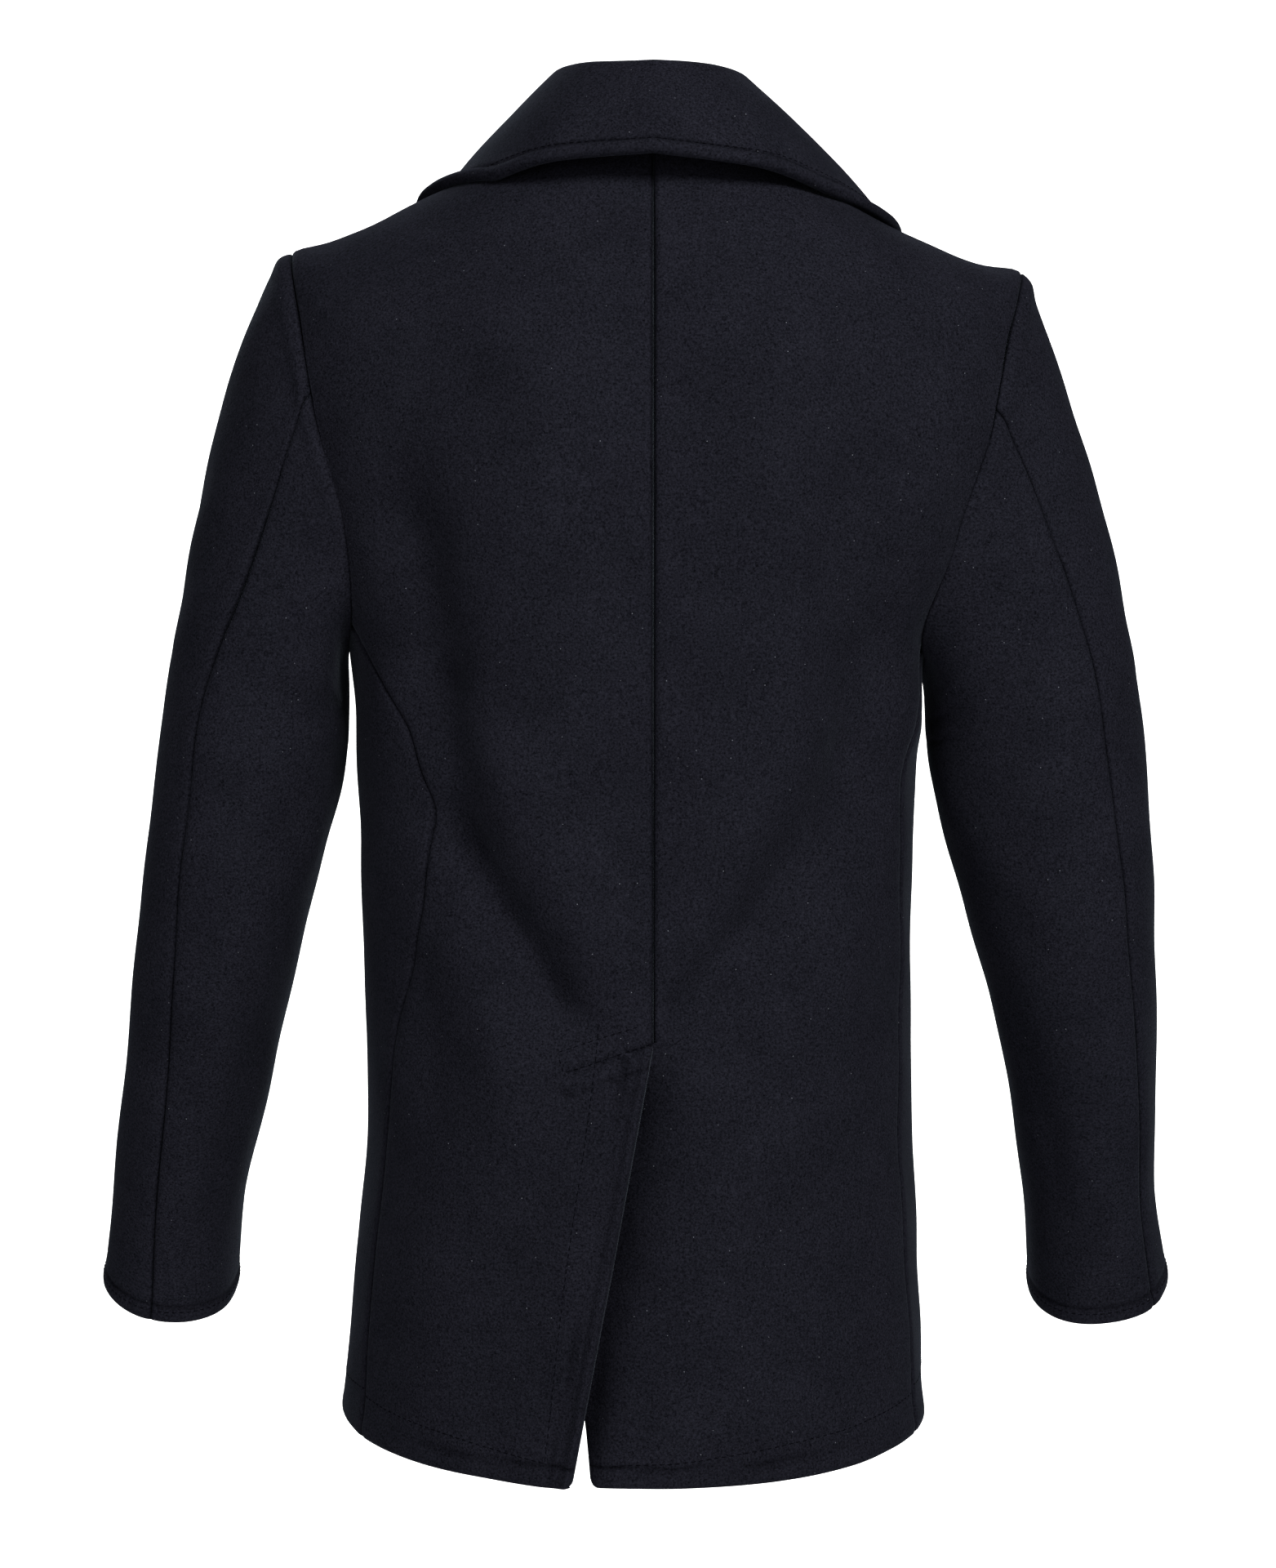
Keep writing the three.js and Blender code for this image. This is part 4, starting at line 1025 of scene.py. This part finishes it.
def lapel(side):
    top = roll_top()
    gorge = (top[0] + LAPEL_GORGE[0], top[2] + LAPEL_GORGE[1])
    v = spread(LAPEL_LENGTH, LAPEL_STEP, NEAR_LAPEL, NEAR_LAPEL, (LAPEL_NOTCH_ROW,))
    u = spread(LAPEL_WIDTH, LAPEL_STEP, NEAR_EDGE, NEAR_LAPEL)
    t = LAPEL_STARTS + (1 - LAPEL_STARTS) * v
    rise = LAPEL_STARTS + (1 - LAPEL_STARTS) * clamp01(v / LAPEL_NOTCH_ROW)
    notch = clamp01((v - LAPEL_NOTCH_ROW) / (1 - LAPEL_NOTCH_ROW))
    outer_x = -LAP + (LAPEL_POINT[0] + LAP) * rise
    outer_z = BREAK_Z + (LAPEL_POINT[1] - BREAK_Z) * rise
    line_a = (v, -LAP + (gorge[0] + LAP) * t - LAPEL_INSET, BREAK_Z + (gorge[1] - BREAK_Z) * t)
    line_b = (v, outer_x + (LAPEL_NOTCH[0] - outer_x) * notch, outer_z + (LAPEL_NOTCH[1] - outer_z) * notch)
    sewn = ("end", "bottom", "top")
    piece, outer, normals = lay_on_front(
        "lapel", side, line_a, line_b, u, v, LAPEL_OFF, LAPEL_CLOTH, sewn, LAPEL_STITCH, LAPEL_PUFF
    )
    column_at = nearest(u, 1 - LAPEL_STITCH / LAPEL_WIDTH)
    row_at = nearest(v, 1 - LAPEL_STITCH / LAPEL_LENGTH)
    sew_grid(outer, normals, slice(LAPEL_STITCH_ROW, row_at), column_at)
    sew_grid(outer, normals, row_at, slice(column_at - 1, None, -1))
    return piece


def pocket_welt(side):
    v, u = (spread(size, WELT_STEP, NEAR_WELT, NEAR_WELT) for size in (WELT_LENGTH, WELT_WIDTH))
    x = WELT_TOP[0] + WELT_LEAN * v
    z = WELT_TOP[1] - WELT_LENGTH * v
    line_a = (v, x - WELT_WIDTH / 2, z - WELT_TILT)
    line_b = (v, x + WELT_WIDTH / 2, z + WELT_TILT)
    sewn = ("start", "end", "bottom", "top")
    piece, outer, normals = lay_on_front(
        "pocket_welt", side, line_a, line_b, u, v, WELT_OFF, WELT_CLOTH, sewn, WELT_STITCH, WELT_PUFF
    )
    first, last = nearest(v, WELT_STITCH / WELT_LENGTH), nearest(v, 1 - WELT_STITCH / WELT_LENGTH)
    left, right = nearest(u, WELT_STITCH / WELT_WIDTH), nearest(u, 1 - WELT_STITCH / WELT_WIDTH)
    for column_at in (left, right):
        sew_grid(outer, normals, slice(first, last + 1), column_at)
    for row_at in (first, last):
        sew_grid(outer, normals, row_at, slice(left, right + 1))
    return piece


def sleeve_axis(side, position):
    rows = ARM[side]
    centre = np.stack((
        sign(side) * column(rows, "x", position), column(rows, "y", position), column(rows, "z", position)
    ), axis=-1)
    return centre, column(rows, "across", position), column(rows, "deep", position)


def arm_ring(side, turn, position):
    last = len(ARM[side]["x"]) - 1
    centre, across, deep = sleeve_axis(side, position)
    after = sleeve_axis(side, np.minimum(last, position + SLOPE_ROWS))[0]
    before = sleeve_axis(side, np.maximum(0, position - SLOPE_ROWS))[0]
    down = unit(after - before)
    wanted = np.array((float(sign(side)), 0.0, 0.0))
    outward = unit(wanted - down * np.sum(down * wanted, axis=-1, keepdims=True))
    backward = np.cross(outward, down)
    backward = backward * np.where(backward[..., 1:2] < 0, -1.0, 1.0)
    t = np.radians(turn)
    point = (
        centre
        + outward * (across * signed_power(np.cos(t), SLEEVE_POWER))[..., None]
        + backward * (deep * signed_power(np.sin(t), SLEEVE_POWER))[..., None]
    )
    return point, down


def seam_turn(side, turn, depth):
    """Turn round the sleeve at a depth, so that its seams fall where they should."""
    seams = SLEEVE_SEAMS[side]
    bend = smooth(depth / ELBOW_SHARE)
    elbow = (
        ELBOW_SEAM_MEETS
        + (seams["elbowMid"] - ELBOW_SEAM_MEETS) * bend
        + (seams["elbowCuff"] - seams["elbowMid"]) * smooth((depth - ELBOW_SHARE) / (1 - ELBOW_SHARE))
    )
    forearm = FRONT_SEAM_MEETS + (seams["forearm"] - FRONT_SEAM_MEETS) * bend
    under = (turn >= ELBOW_SEAM_MEETS) & (turn <= FRONT_SEAM_MEETS)
    t = (turn - ELBOW_SEAM_MEETS) / (FRONT_SEAM_MEETS - ELBOW_SEAM_MEETS)
    wrapped = np.where(turn > FRONT_SEAM_MEETS, turn - 360, turn)
    back = FRONT_SEAM_MEETS - 360
    w = (wrapped - back) / (ELBOW_SEAM_MEETS - back)
    return np.where(under, elbow + (forearm - elbow) * t, forearm - 360 + (elbow - forearm + 360) * w)


def sleeve_point(side, turn, depth):
    """A point of the sleeve: depth 0 is the armhole and 1 the cuff."""
    s = sign(side)
    last = len(ARM[side]["x"]) - 1
    turn, depth = np.broadcast_arrays(turn, depth)
    from_seam = (turn - ELBOW_SEAM_MEETS + 180) % 360 - 180
    lean = CAP_SEAM_LEAN[side] * np.sin(np.pi * clamp01(depth / CAP_LEAN_ENDS)) ** 2
    turn = turn + bump(from_seam, 0, CAP_LEAN_WIDTH, lean)
    position = clamp01((depth - CAP_SHARE) / (1 - CAP_SHARE)) * last
    below, _ = arm_ring(side, seam_turn(side, turn, depth), position)
    cosine = np.cos(np.radians(turn))
    under = np.maximum(0, -cosine)
    share = CAP_SHARE + UNDERARM_EASE[0] * smooth(under / UNDERARM_EASE[1])
    t = clamp01(depth / share)[..., None]
    seam, _ = on_body(*armhole_place(side, turn))
    seam[..., 0] += s * (SLEEVE_SEAM_GAP + UNDERARM_GAP * under)
    start = (share - CAP_SHARE) / (1 - CAP_SHARE) * last
    ring, _ = arm_ring(side, seam_turn(side, turn, share), start)
    ahead, _ = arm_ring(side, seam_turn(side, turn, share), start + CAP_SLOPE_STEP)
    down = unit(ahead - ring)
    span = np.linalg.norm(ring - seam, axis=-1)
    over = smooth((cosine - CAP_TOP[0]) / CAP_TOP[1])
    widest = SLEEVE_REACH_SIDE[side] + (SLEEVE_REACH_TOP[side] - SLEEVE_REACH_SIDE[side]) * over
    out = np.zeros(seam.shape)
    out[..., 0] = s * np.minimum(widest, span * CAP_REACH[0] + CAP_REACH[1])
    t2, t3 = t * t, t * t * t
    cap = (
        seam * (2 * t3 - 3 * t2 + 1)
        + out * (t3 - 2 * t2 + t)
        + ring * (3 * t2 - 2 * t3)
        + down * (span * CAP_TANGENT)[..., None] * (t3 - t2)
    )
    full, high = CAP_BULGE[side]
    turned = np.pi * t[..., 0]
    cap[..., 0] += s * over * (full * np.sin(turned) + high * np.sin(2 * turned))
    return np.where((depth >= share)[..., None], below, cap)


def sleeve(side, part):
    """One half of a sleeve: the upper half, or the under half between its two seams."""
    under = part == "under"
    first = ELBOW_SEAM_MEETS if under else FRONT_SEAM_MEETS
    last = FRONT_SEAM_MEETS if under else ELBOW_SEAM_MEETS + 360
    u = spread(SLEEVE_WIDTH[part], STEP, NEAR_SEAM, NEAR_SEAM)
    v = spread(SLEEVE_LENGTH, STEP, NEAR_SLEEVE_HEAD, NEAR_CUFF)
    turn, depth = np.meshgrid(first + (last - first) * u, v)
    points = sleeve_point(side, turn, depth)
    along = sleeve_point(side, turn, np.minimum(1, depth + SLOPE_DEPTH))
    along = along - sleeve_point(side, turn, np.maximum(0, depth - SLOPE_DEPTH))
    around = sleeve_point(side, turn + SLOPE_TURN, depth) - sleeve_point(side, turn - SLOPE_TURN, depth)
    normals = unit(np.cross(along, around)) * sign(side)
    d = distances(points)
    names = ("turn1", "depth1", "turn2", "depth2")
    folds = dict(SLEEVE_FOLDS[side])
    for name in ("depth1", "depth2"):
        folds[name] = folds[name] * SLEEVE_LENGTH
    relief = capsule_sum(folds, names, seam_turn(side, turn, depth) % 360, depth * SLEEVE_LENGTH)
    for border, length in SLEEVE_FOLD_FADE.items():
        relief = relief * smooth(d[border] / length)
    over_top = smooth((np.cos(np.radians(turn)) + SLEEVE_HEAD_TOP[0]) / SLEEVE_HEAD_TOP[1])
    head = bump(d["bottom"], *SLEEVE_HEAD) * over_top + bump(d["bottom"], *SLEEVE_HEAD_SEAM)
    relief = relief + head + edge_relief(d["top"], CUFF_STITCH, CUFF_PUFF)
    relief = relief + seam_relief(d["start"]) + seam_relief(d["end"]) + uneven(points, UNEVEN)
    thick_cuff = turned_edge(d["top"], CUFF_STITCH, CUFF)
    thickness = CLOTH + np.maximum(thick_cuff, seam_thick(d, ("start", "end", "bottom")))
    rounding = rounded(d, SEAM_ROUND, SEAM_ROUND, SEAM_ROUND, EDGE_ROUND)
    shade = hollows([d["bottom"]], [(d["top"], CUFF_STITCH)], [d["start"], d["end"]])
    piece, outer = shell(f"sleeve_{part}_{side}", points, normals, thickness, relief, rounding, shade)
    sew_grid(outer, normals, nearest(v, 1 - CUFF_STITCH / SLEEVE_LENGTH), slice(1, -1))
    return piece


def clear_of_shoulder(points):
    """Raises points until they are clear of the shoulder and chest below them."""
    x, y = points[..., 0], points[..., 1]

    def lean(level):
        power = 1 / SECTION_POWER
        return (np.abs(x) / half_width(x, level)) ** power, (np.abs(y) / half_depth(y, level)) ** power

    low = np.full(x.shape, TIP_LEVEL - 1.0)
    high = np.full(x.shape, float(NECK_LEVEL))
    across, deep = lean(high)
    inside = across ** 2 + deep ** 2 < 1
    for _ in range(HALVINGS):
        level = (low + high) / 2
        across, deep = lean(level)
        outside = across ** 2 + deep ** 2 > 1
        high = np.where(outside, level, high)
        low = np.where(outside, low, level)
    across, deep = lean(low)
    turn = np.arctan2(across, deep)
    angle = np.where(x >= 0, 1.0, -1.0) * np.where(y >= 0, turn, np.pi - turn)
    surface = body_point(angle, low)[..., 2]
    lowest = surface + COLLAR_CLEARANCE / np.maximum(COLLAR_STEEPEST, body_normal(angle, low)[..., 2])
    raised = points.copy()
    raised[..., 2] = np.where(inside, points[..., 2], np.maximum(points[..., 2], lowest))
    return raised


def collar():
    last = len(COLLAR["foldX"]) - 1
    place = spread(COLLAR_LENGTH, COLLAR_STEP, NEAR_COLLAR_END, NEAR_COLLAR_END, (0.5,))
    position = (place * 2 - 1) * last
    away = np.abs(position)
    s = np.where(position < 0, -1.0, 1.0)
    fit = {
        name: np.where(position < 0, COLLAR_SIDES["right"][name], COLLAR_SIDES["left"][name])
        for name in COLLAR_SIDES["left"]
    }

    def placed(name, spread_by):
        x = column(COLLAR, f"{name}X", away) * spread_by
        y, z = column(COLLAR, f"{name}Y", away), column(COLLAR, f"{name}Z", away)
        return np.stack((s * x, y, z - fit["drop"] * x / COLLAR_DROP_WIDTH), axis=-1)

    neck = np.full(away.shape, float(NECK_LEVEL))
    base = body_point(np.radians(s * column(COLLAR, "baseAngle", away)), neck)
    base[:, 2] += COLLAR_BASE_LIFT
    fold, edge = placed("fold", fit["fold"]), placed("edge", fit["edge"])
    out = edge - fold
    out[:, 2] = 0
    out = unit(out)
    rise = np.array((0.0, 0.0, 1.0))
    radius = COLLAR_FOLD_RADIUS
    inner = fold - out * radius - rise * radius
    face = unit(rise + COLLAR_FACE_LEAN * out)
    bulge = column(COLLAR, "bulge", away)
    run = np.hypot(edge[:, 0] - fold[:, 0], edge[:, 1] - fold[:, 1])
    slope = np.arctan2(fold[:, 2] - edge[:, 2] - np.pi * bulge, run)
    parts = [base + (inner - base) * t for t in COLLAR_STAND]
    for t in np.linspace(0, 1, COLLAR_FOLD_PLACES)[1:]:
        a = (np.pi - (np.pi / 2 + slope) * t)[:, None]
        parts.append(fold + out * radius * np.cos(a) + rise * radius * (np.sin(a) - 1))
    outer_end = parts[-1]
    fall = spread(COLLAR_FALL, FALL_STEP, (), NEAR_COLLAR_EDGE)[1:]
    for t in fall:
        point = outer_end + (edge - outer_end) * t + face * (bulge * np.sin(np.pi * t))[:, None]
        parts.append(clear_of_shoulder(point))
    points = np.stack(parts, axis=1)
    normals = unit(np.cross(np.gradient(points, axis=1), np.gradient(points, axis=0)))
    if normals[len(place) // 2, -3, 1] < 0:
        normals = -normals
    d = distances(points)
    fall_start = len(parts) - len(fall)
    on_fall = np.zeros(points.shape[:2])
    on_fall[:, fall_start:] = smooth(np.linspace(0, COLLAR_FALL_FADE, len(fall)))[None, :]
    edge_near = np.minimum.reduce([d["end"], d["bottom"], d["top"]])
    relief = edge_relief(edge_near, COLLAR_STITCH, COLLAR_PUFF) * on_fall + uneven(points, UNEVEN_COLLAR)
    rim = smooth((COLLAR_STITCH + COLLAR_RIM[0] - edge_near) / COLLAR_RIM[1]) * on_fall
    thickness = COLLAR_CLOTH + (COLLAR_EDGE - COLLAR_CLOTH) * rim
    points = points + normals * (thickness / 2)[..., None]
    rounding = rounded(d, SEAM_ROUND, COLLAR_END_ROUND, EDGE_ROUND, EDGE_ROUND)
    shade = hollows([d["start"]], [(edge_near + FAR_OFF * (1 - on_fall), COLLAR_STITCH)])
    piece, outer = shell("collar", points, normals, thickness, relief, rounding, shade)
    stitch_column = fall_start + nearest(fall, 1 - COLLAR_STITCH / COLLAR_FALL)
    inset = COLLAR_STITCH / COLLAR_LENGTH
    ends = (nearest(place, inset), nearest(place, 1 - inset))
    sew_grid(outer, normals, slice(ends[0], ends[1] + 1), stitch_column)
    for row in ends:
        sew_grid(outer, normals, row, slice(fall_start, stitch_column))
    return piece


def button(side, row):
    """A four-hole button, sewn on with two bars of thread."""
    angle, level = locate(sign(side) * BUTTON_COLUMN, BUTTON_ROWS[row], "front")
    point, normal = front_sample("left", unwrap(angle, "left"), level, BUTTON_OFF)
    rim = [(BUTTON_RADIUS - inward, z) for inward, z in BUTTON_RIM]
    profile = np.array([*BUTTON_BACK, *rim, *((radius, BUTTON_FACE_Z) for radius in BUTTON_FACE)])
    t = np.arange(BUTTON_TURNS) * 2 * np.pi / BUTTON_TURNS
    inner = profile[1:-1]
    x = inner[:, 0:1] * np.cos(t)
    y = inner[:, 0:1] * np.sin(t)
    z = np.repeat(inner[:, 1:2], BUTTON_TURNS, axis=1)
    upper = np.arange(len(inner))[:, None] > BUTTON_FACE_RING
    for hx, hy in ((1, 1), (-1, 1), (1, -1), (-1, -1)):
        away = np.hypot(x - hx * HOLE_AT, y - hy * HOLE_AT)
        z = z - np.where(upper, HOLE_DEPTH * np.exp(-((away / HOLE_WIDTH) ** 4)), 0)
    local = np.stack((x, y, z), axis=-1).reshape(-1, 3)
    local = np.concatenate((local, [(0, 0, profile[0, 1]), (0, 0, profile[-1, 1])]))
    ids = np.arange(len(inner) * BUTTON_TURNS).reshape(len(inner), BUTTON_TURNS)
    after = np.roll(ids, -1, axis=1)
    faces = np.stack((ids[:-1], after[:-1], after[1:], ids[1:]), axis=-1).reshape(-1, 4).tolist()
    low, high = len(local) - 2, len(local) - 1
    faces += [[low, int(b), int(a)] for a, b in zip(ids[0], after[0])]
    faces += [[high, int(a), int(b)] for a, b in zip(ids[-1], after[-1])]
    side_axis = unit(np.cross((0, 0, 1.0), normal))
    axes = np.stack((side_axis, np.cross(normal, side_axis), normal))
    piece = new_object(f"coat_button_{side}_{row + 1}", local @ axes + point, faces)
    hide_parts(f"button_{side}_{row + 1}")
    for hx in (-HOLE_AT, HOLE_AT):
        bar = np.array([(hx, y, BUTTON_THREAD_Z) for y in BUTTON_THREAD]) @ axes + point
        sew(bar, np.repeat(normal[None, :], len(bar), axis=0), **BUTTON_STITCH)
    return piece


def set_sockets(node, **values):
    """Sets sockets by name, with an underscore for each space."""
    for name, value in values.items():
        node.inputs[name.replace("_", " ")].default_value = value


def add_node(tree, kind, links=(), **values):
    """A new node with its sockets set, and links given as (socket, output of another node)."""
    node = tree.nodes.new(kind)
    set_sockets(node, **values)
    for name, output in links:
        tree.links.new(output, node.inputs[name])
    return node


def mix_node(tree, a, b, factor=None):
    """Multiplies two colours, or blends the second in by a factor."""
    node = tree.nodes.new("ShaderNodeMix")
    node.data_type = "RGBA"
    if factor is None:
        node.blend_type = "MULTIPLY"
        set_sockets(node, Factor=1.0)
    else:
        tree.links.new(factor, node.inputs["Factor"])
    tree.links.new(a, node.inputs["A"])
    if isinstance(b, tuple):
        set_sockets(node, B=b)
    else:
        tree.links.new(b, node.inputs["B"])
    return node.outputs["Result"]


def wool_material():
    """Felted dark navy wool: matt, with a faint bloom of fibres and a little lint."""
    material = plain_material("wool_melton", WOOL_DARK[:3], roughness=0.95, specular=0.0)
    tree = material.node_tree
    shader = tree.nodes["Principled BSDF"]
    place = [("Vector", add_node(tree, "ShaderNodeTexCoord").outputs["Object"])]
    noise = "ShaderNodeTexNoise"
    mottle = add_node(tree, noise, place, Scale=26.0, Detail=6.0, Roughness=0.62).outputs["Fac"]
    grain = add_node(tree, noise, place, Scale=800.0, Detail=3.0, Roughness=0.75).outputs["Fac"]
    felt = add_node(tree, noise, place, Scale=520.0, Detail=5.0, Roughness=0.7).outputs["Fac"]
    tint = add_node(tree, "ShaderNodeValToRGB", [("Fac", mottle)])
    for end, spot, colour in zip(tint.color_ramp.elements, (0.3, 0.72), (WOOL_DARK, WOOL_LIGHT)):
        end.position, end.color = spot, colour
    span = {"From_Min": 0.3, "From_Max": 0.7, "To_Min": 0.2, "To_Max": 1.8}
    speckle = add_node(tree, "ShaderNodeMapRange", [("Value", grain)], **span).outputs["Result"]
    felted = mix_node(tree, tint.outputs["Color"], speckle)
    lint = add_node(tree, "ShaderNodeTexVoronoi", place, Scale=150.0)
    close = [("Value", lint.outputs["Distance"])]
    near = add_node(tree, "ShaderNodeMapRange", close, From_Min=0.05, From_Max=0.03)
    chosen = add_node(tree, "ShaderNodeMath", [(0, lint.outputs["Color"])])
    chosen.operation = "GREATER_THAN"
    chosen.inputs[1].default_value = 0.55
    speck = add_node(tree, "ShaderNodeMath", [(0, near.outputs["Result"]), (1, chosen.outputs["Value"])])
    speck.operation = "MULTIPLY"
    linted = mix_node(tree, felted, LINT, speck.outputs["Value"])
    kept = tree.nodes.new("ShaderNodeAttribute")
    kept.attribute_name = "shade"
    tree.links.new(mix_node(tree, linted, kept.outputs["Fac"]), shader.inputs["Base Color"])
    set_sockets(shader, Sheen_Weight=0.025, Sheen_Roughness=0.3, Sheen_Tint=SHEEN)
    nap = add_node(tree, "ShaderNodeBump", [("Height", felt)], Strength=0.55, Distance=0.0007)
    tree.links.new(nap.outputs["Normal"], shader.inputs["Normal"])
    return material


def plain_material(name, colour, roughness, specular):
    material = bpy.data.materials.new(name)
    material.use_nodes = True
    shader = material.node_tree.nodes["Principled BSDF"]
    set_sockets(shader, Base_Color=(*colour, 1), Roughness=roughness, Specular_IOR_Level=specular)
    return material


def point_at(thing, place, aim):
    thing.location = place
    thing.rotation_euler = (Vector(aim) - Vector(place)).to_track_quat("-Z", "Y").to_euler()
    bpy.context.scene.collection.objects.link(thing)


def studio():
    """Pale floor, a lit white backdrop, grey surroundings, and soft lamps behind and before the coat."""
    white = plain_material("studio_white", STUDIO_WHITE, roughness=0.9, specular=0.1)
    shader = white.node_tree.nodes["Principled BSDF"]
    set_sockets(shader, Emission_Color=(1, 1, 1, 1), Emission_Strength=WHITE_GLOW)
    bpy.ops.mesh.primitive_plane_add(size=FLOOR_SIZE, location=(0, 0, FLOOR_Z))
    floor = bpy.context.object
    floor.name = "studio_floor"
    bpy.ops.mesh.primitive_plane_add(size=1, location=(0, BACKDROP_Y, FLOOR_Z + BACKDROP_HIGH / 2))
    backdrop = bpy.context.object
    backdrop.name = "studio_backdrop"
    backdrop.scale = (BACKDROP_WIDE, BACKDROP_HIGH, 1)
    backdrop.rotation_euler = (np.pi / 2, 0, 0)
    for piece in (floor, backdrop):
        piece.data.materials.append(white)
    world = bpy.data.worlds.new("studio")
    bpy.context.scene.world = world
    world.use_nodes = True
    set_sockets(world.node_tree.nodes["Background"], Color=(1, 1, 1, 1), Strength=WORLD_STRENGTH)
    for name, (place, width, height, power) in LAMPS.items():
        data = bpy.data.lights.new(name, "AREA")
        data.shape = "RECTANGLE"
        data.size, data.size_y, data.energy = width, height, power
        lamp = bpy.data.objects.new(name, data)
        lamp.visible_camera = False
        point_at(lamp, place, LAMPS_AIM)


def camera():
    data = bpy.data.cameras.new("camera")
    data.lens, data.sensor_width = LENS, SENSOR
    eye = bpy.data.objects.new("camera", data)
    point_at(eye, EYE, EYE_TARGET)
    bpy.context.scene.camera = eye


def main():
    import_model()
    wool = wool_material()
    pieces = []
    for side in SIDES:
        pieces += [back_panel(side), front_panel(side)]
        pieces += [sleeve(side, "upper"), sleeve(side, "under")]
        pieces += [lapel(side), pocket_welt(side)]
    pieces.append(collar())
    for piece in pieces:
        piece.data.materials.append(wool)
    horn = plain_material("button_horn", HORN, roughness=0.42, specular=0.25)
    for side in SIDES:
        for row in range(len(BUTTON_ROWS)):
            button(side, row).data.materials.append(horn)
    thread = plain_material("sewing_thread", THREAD, roughness=0.9, specular=0.0)
    thread_object("topstitching").data.materials.append(thread)
    studio()
    camera()
    bpy.context.scene.view_settings.view_transform = "Standard"
    bpy.context.view_layer.update()


main()
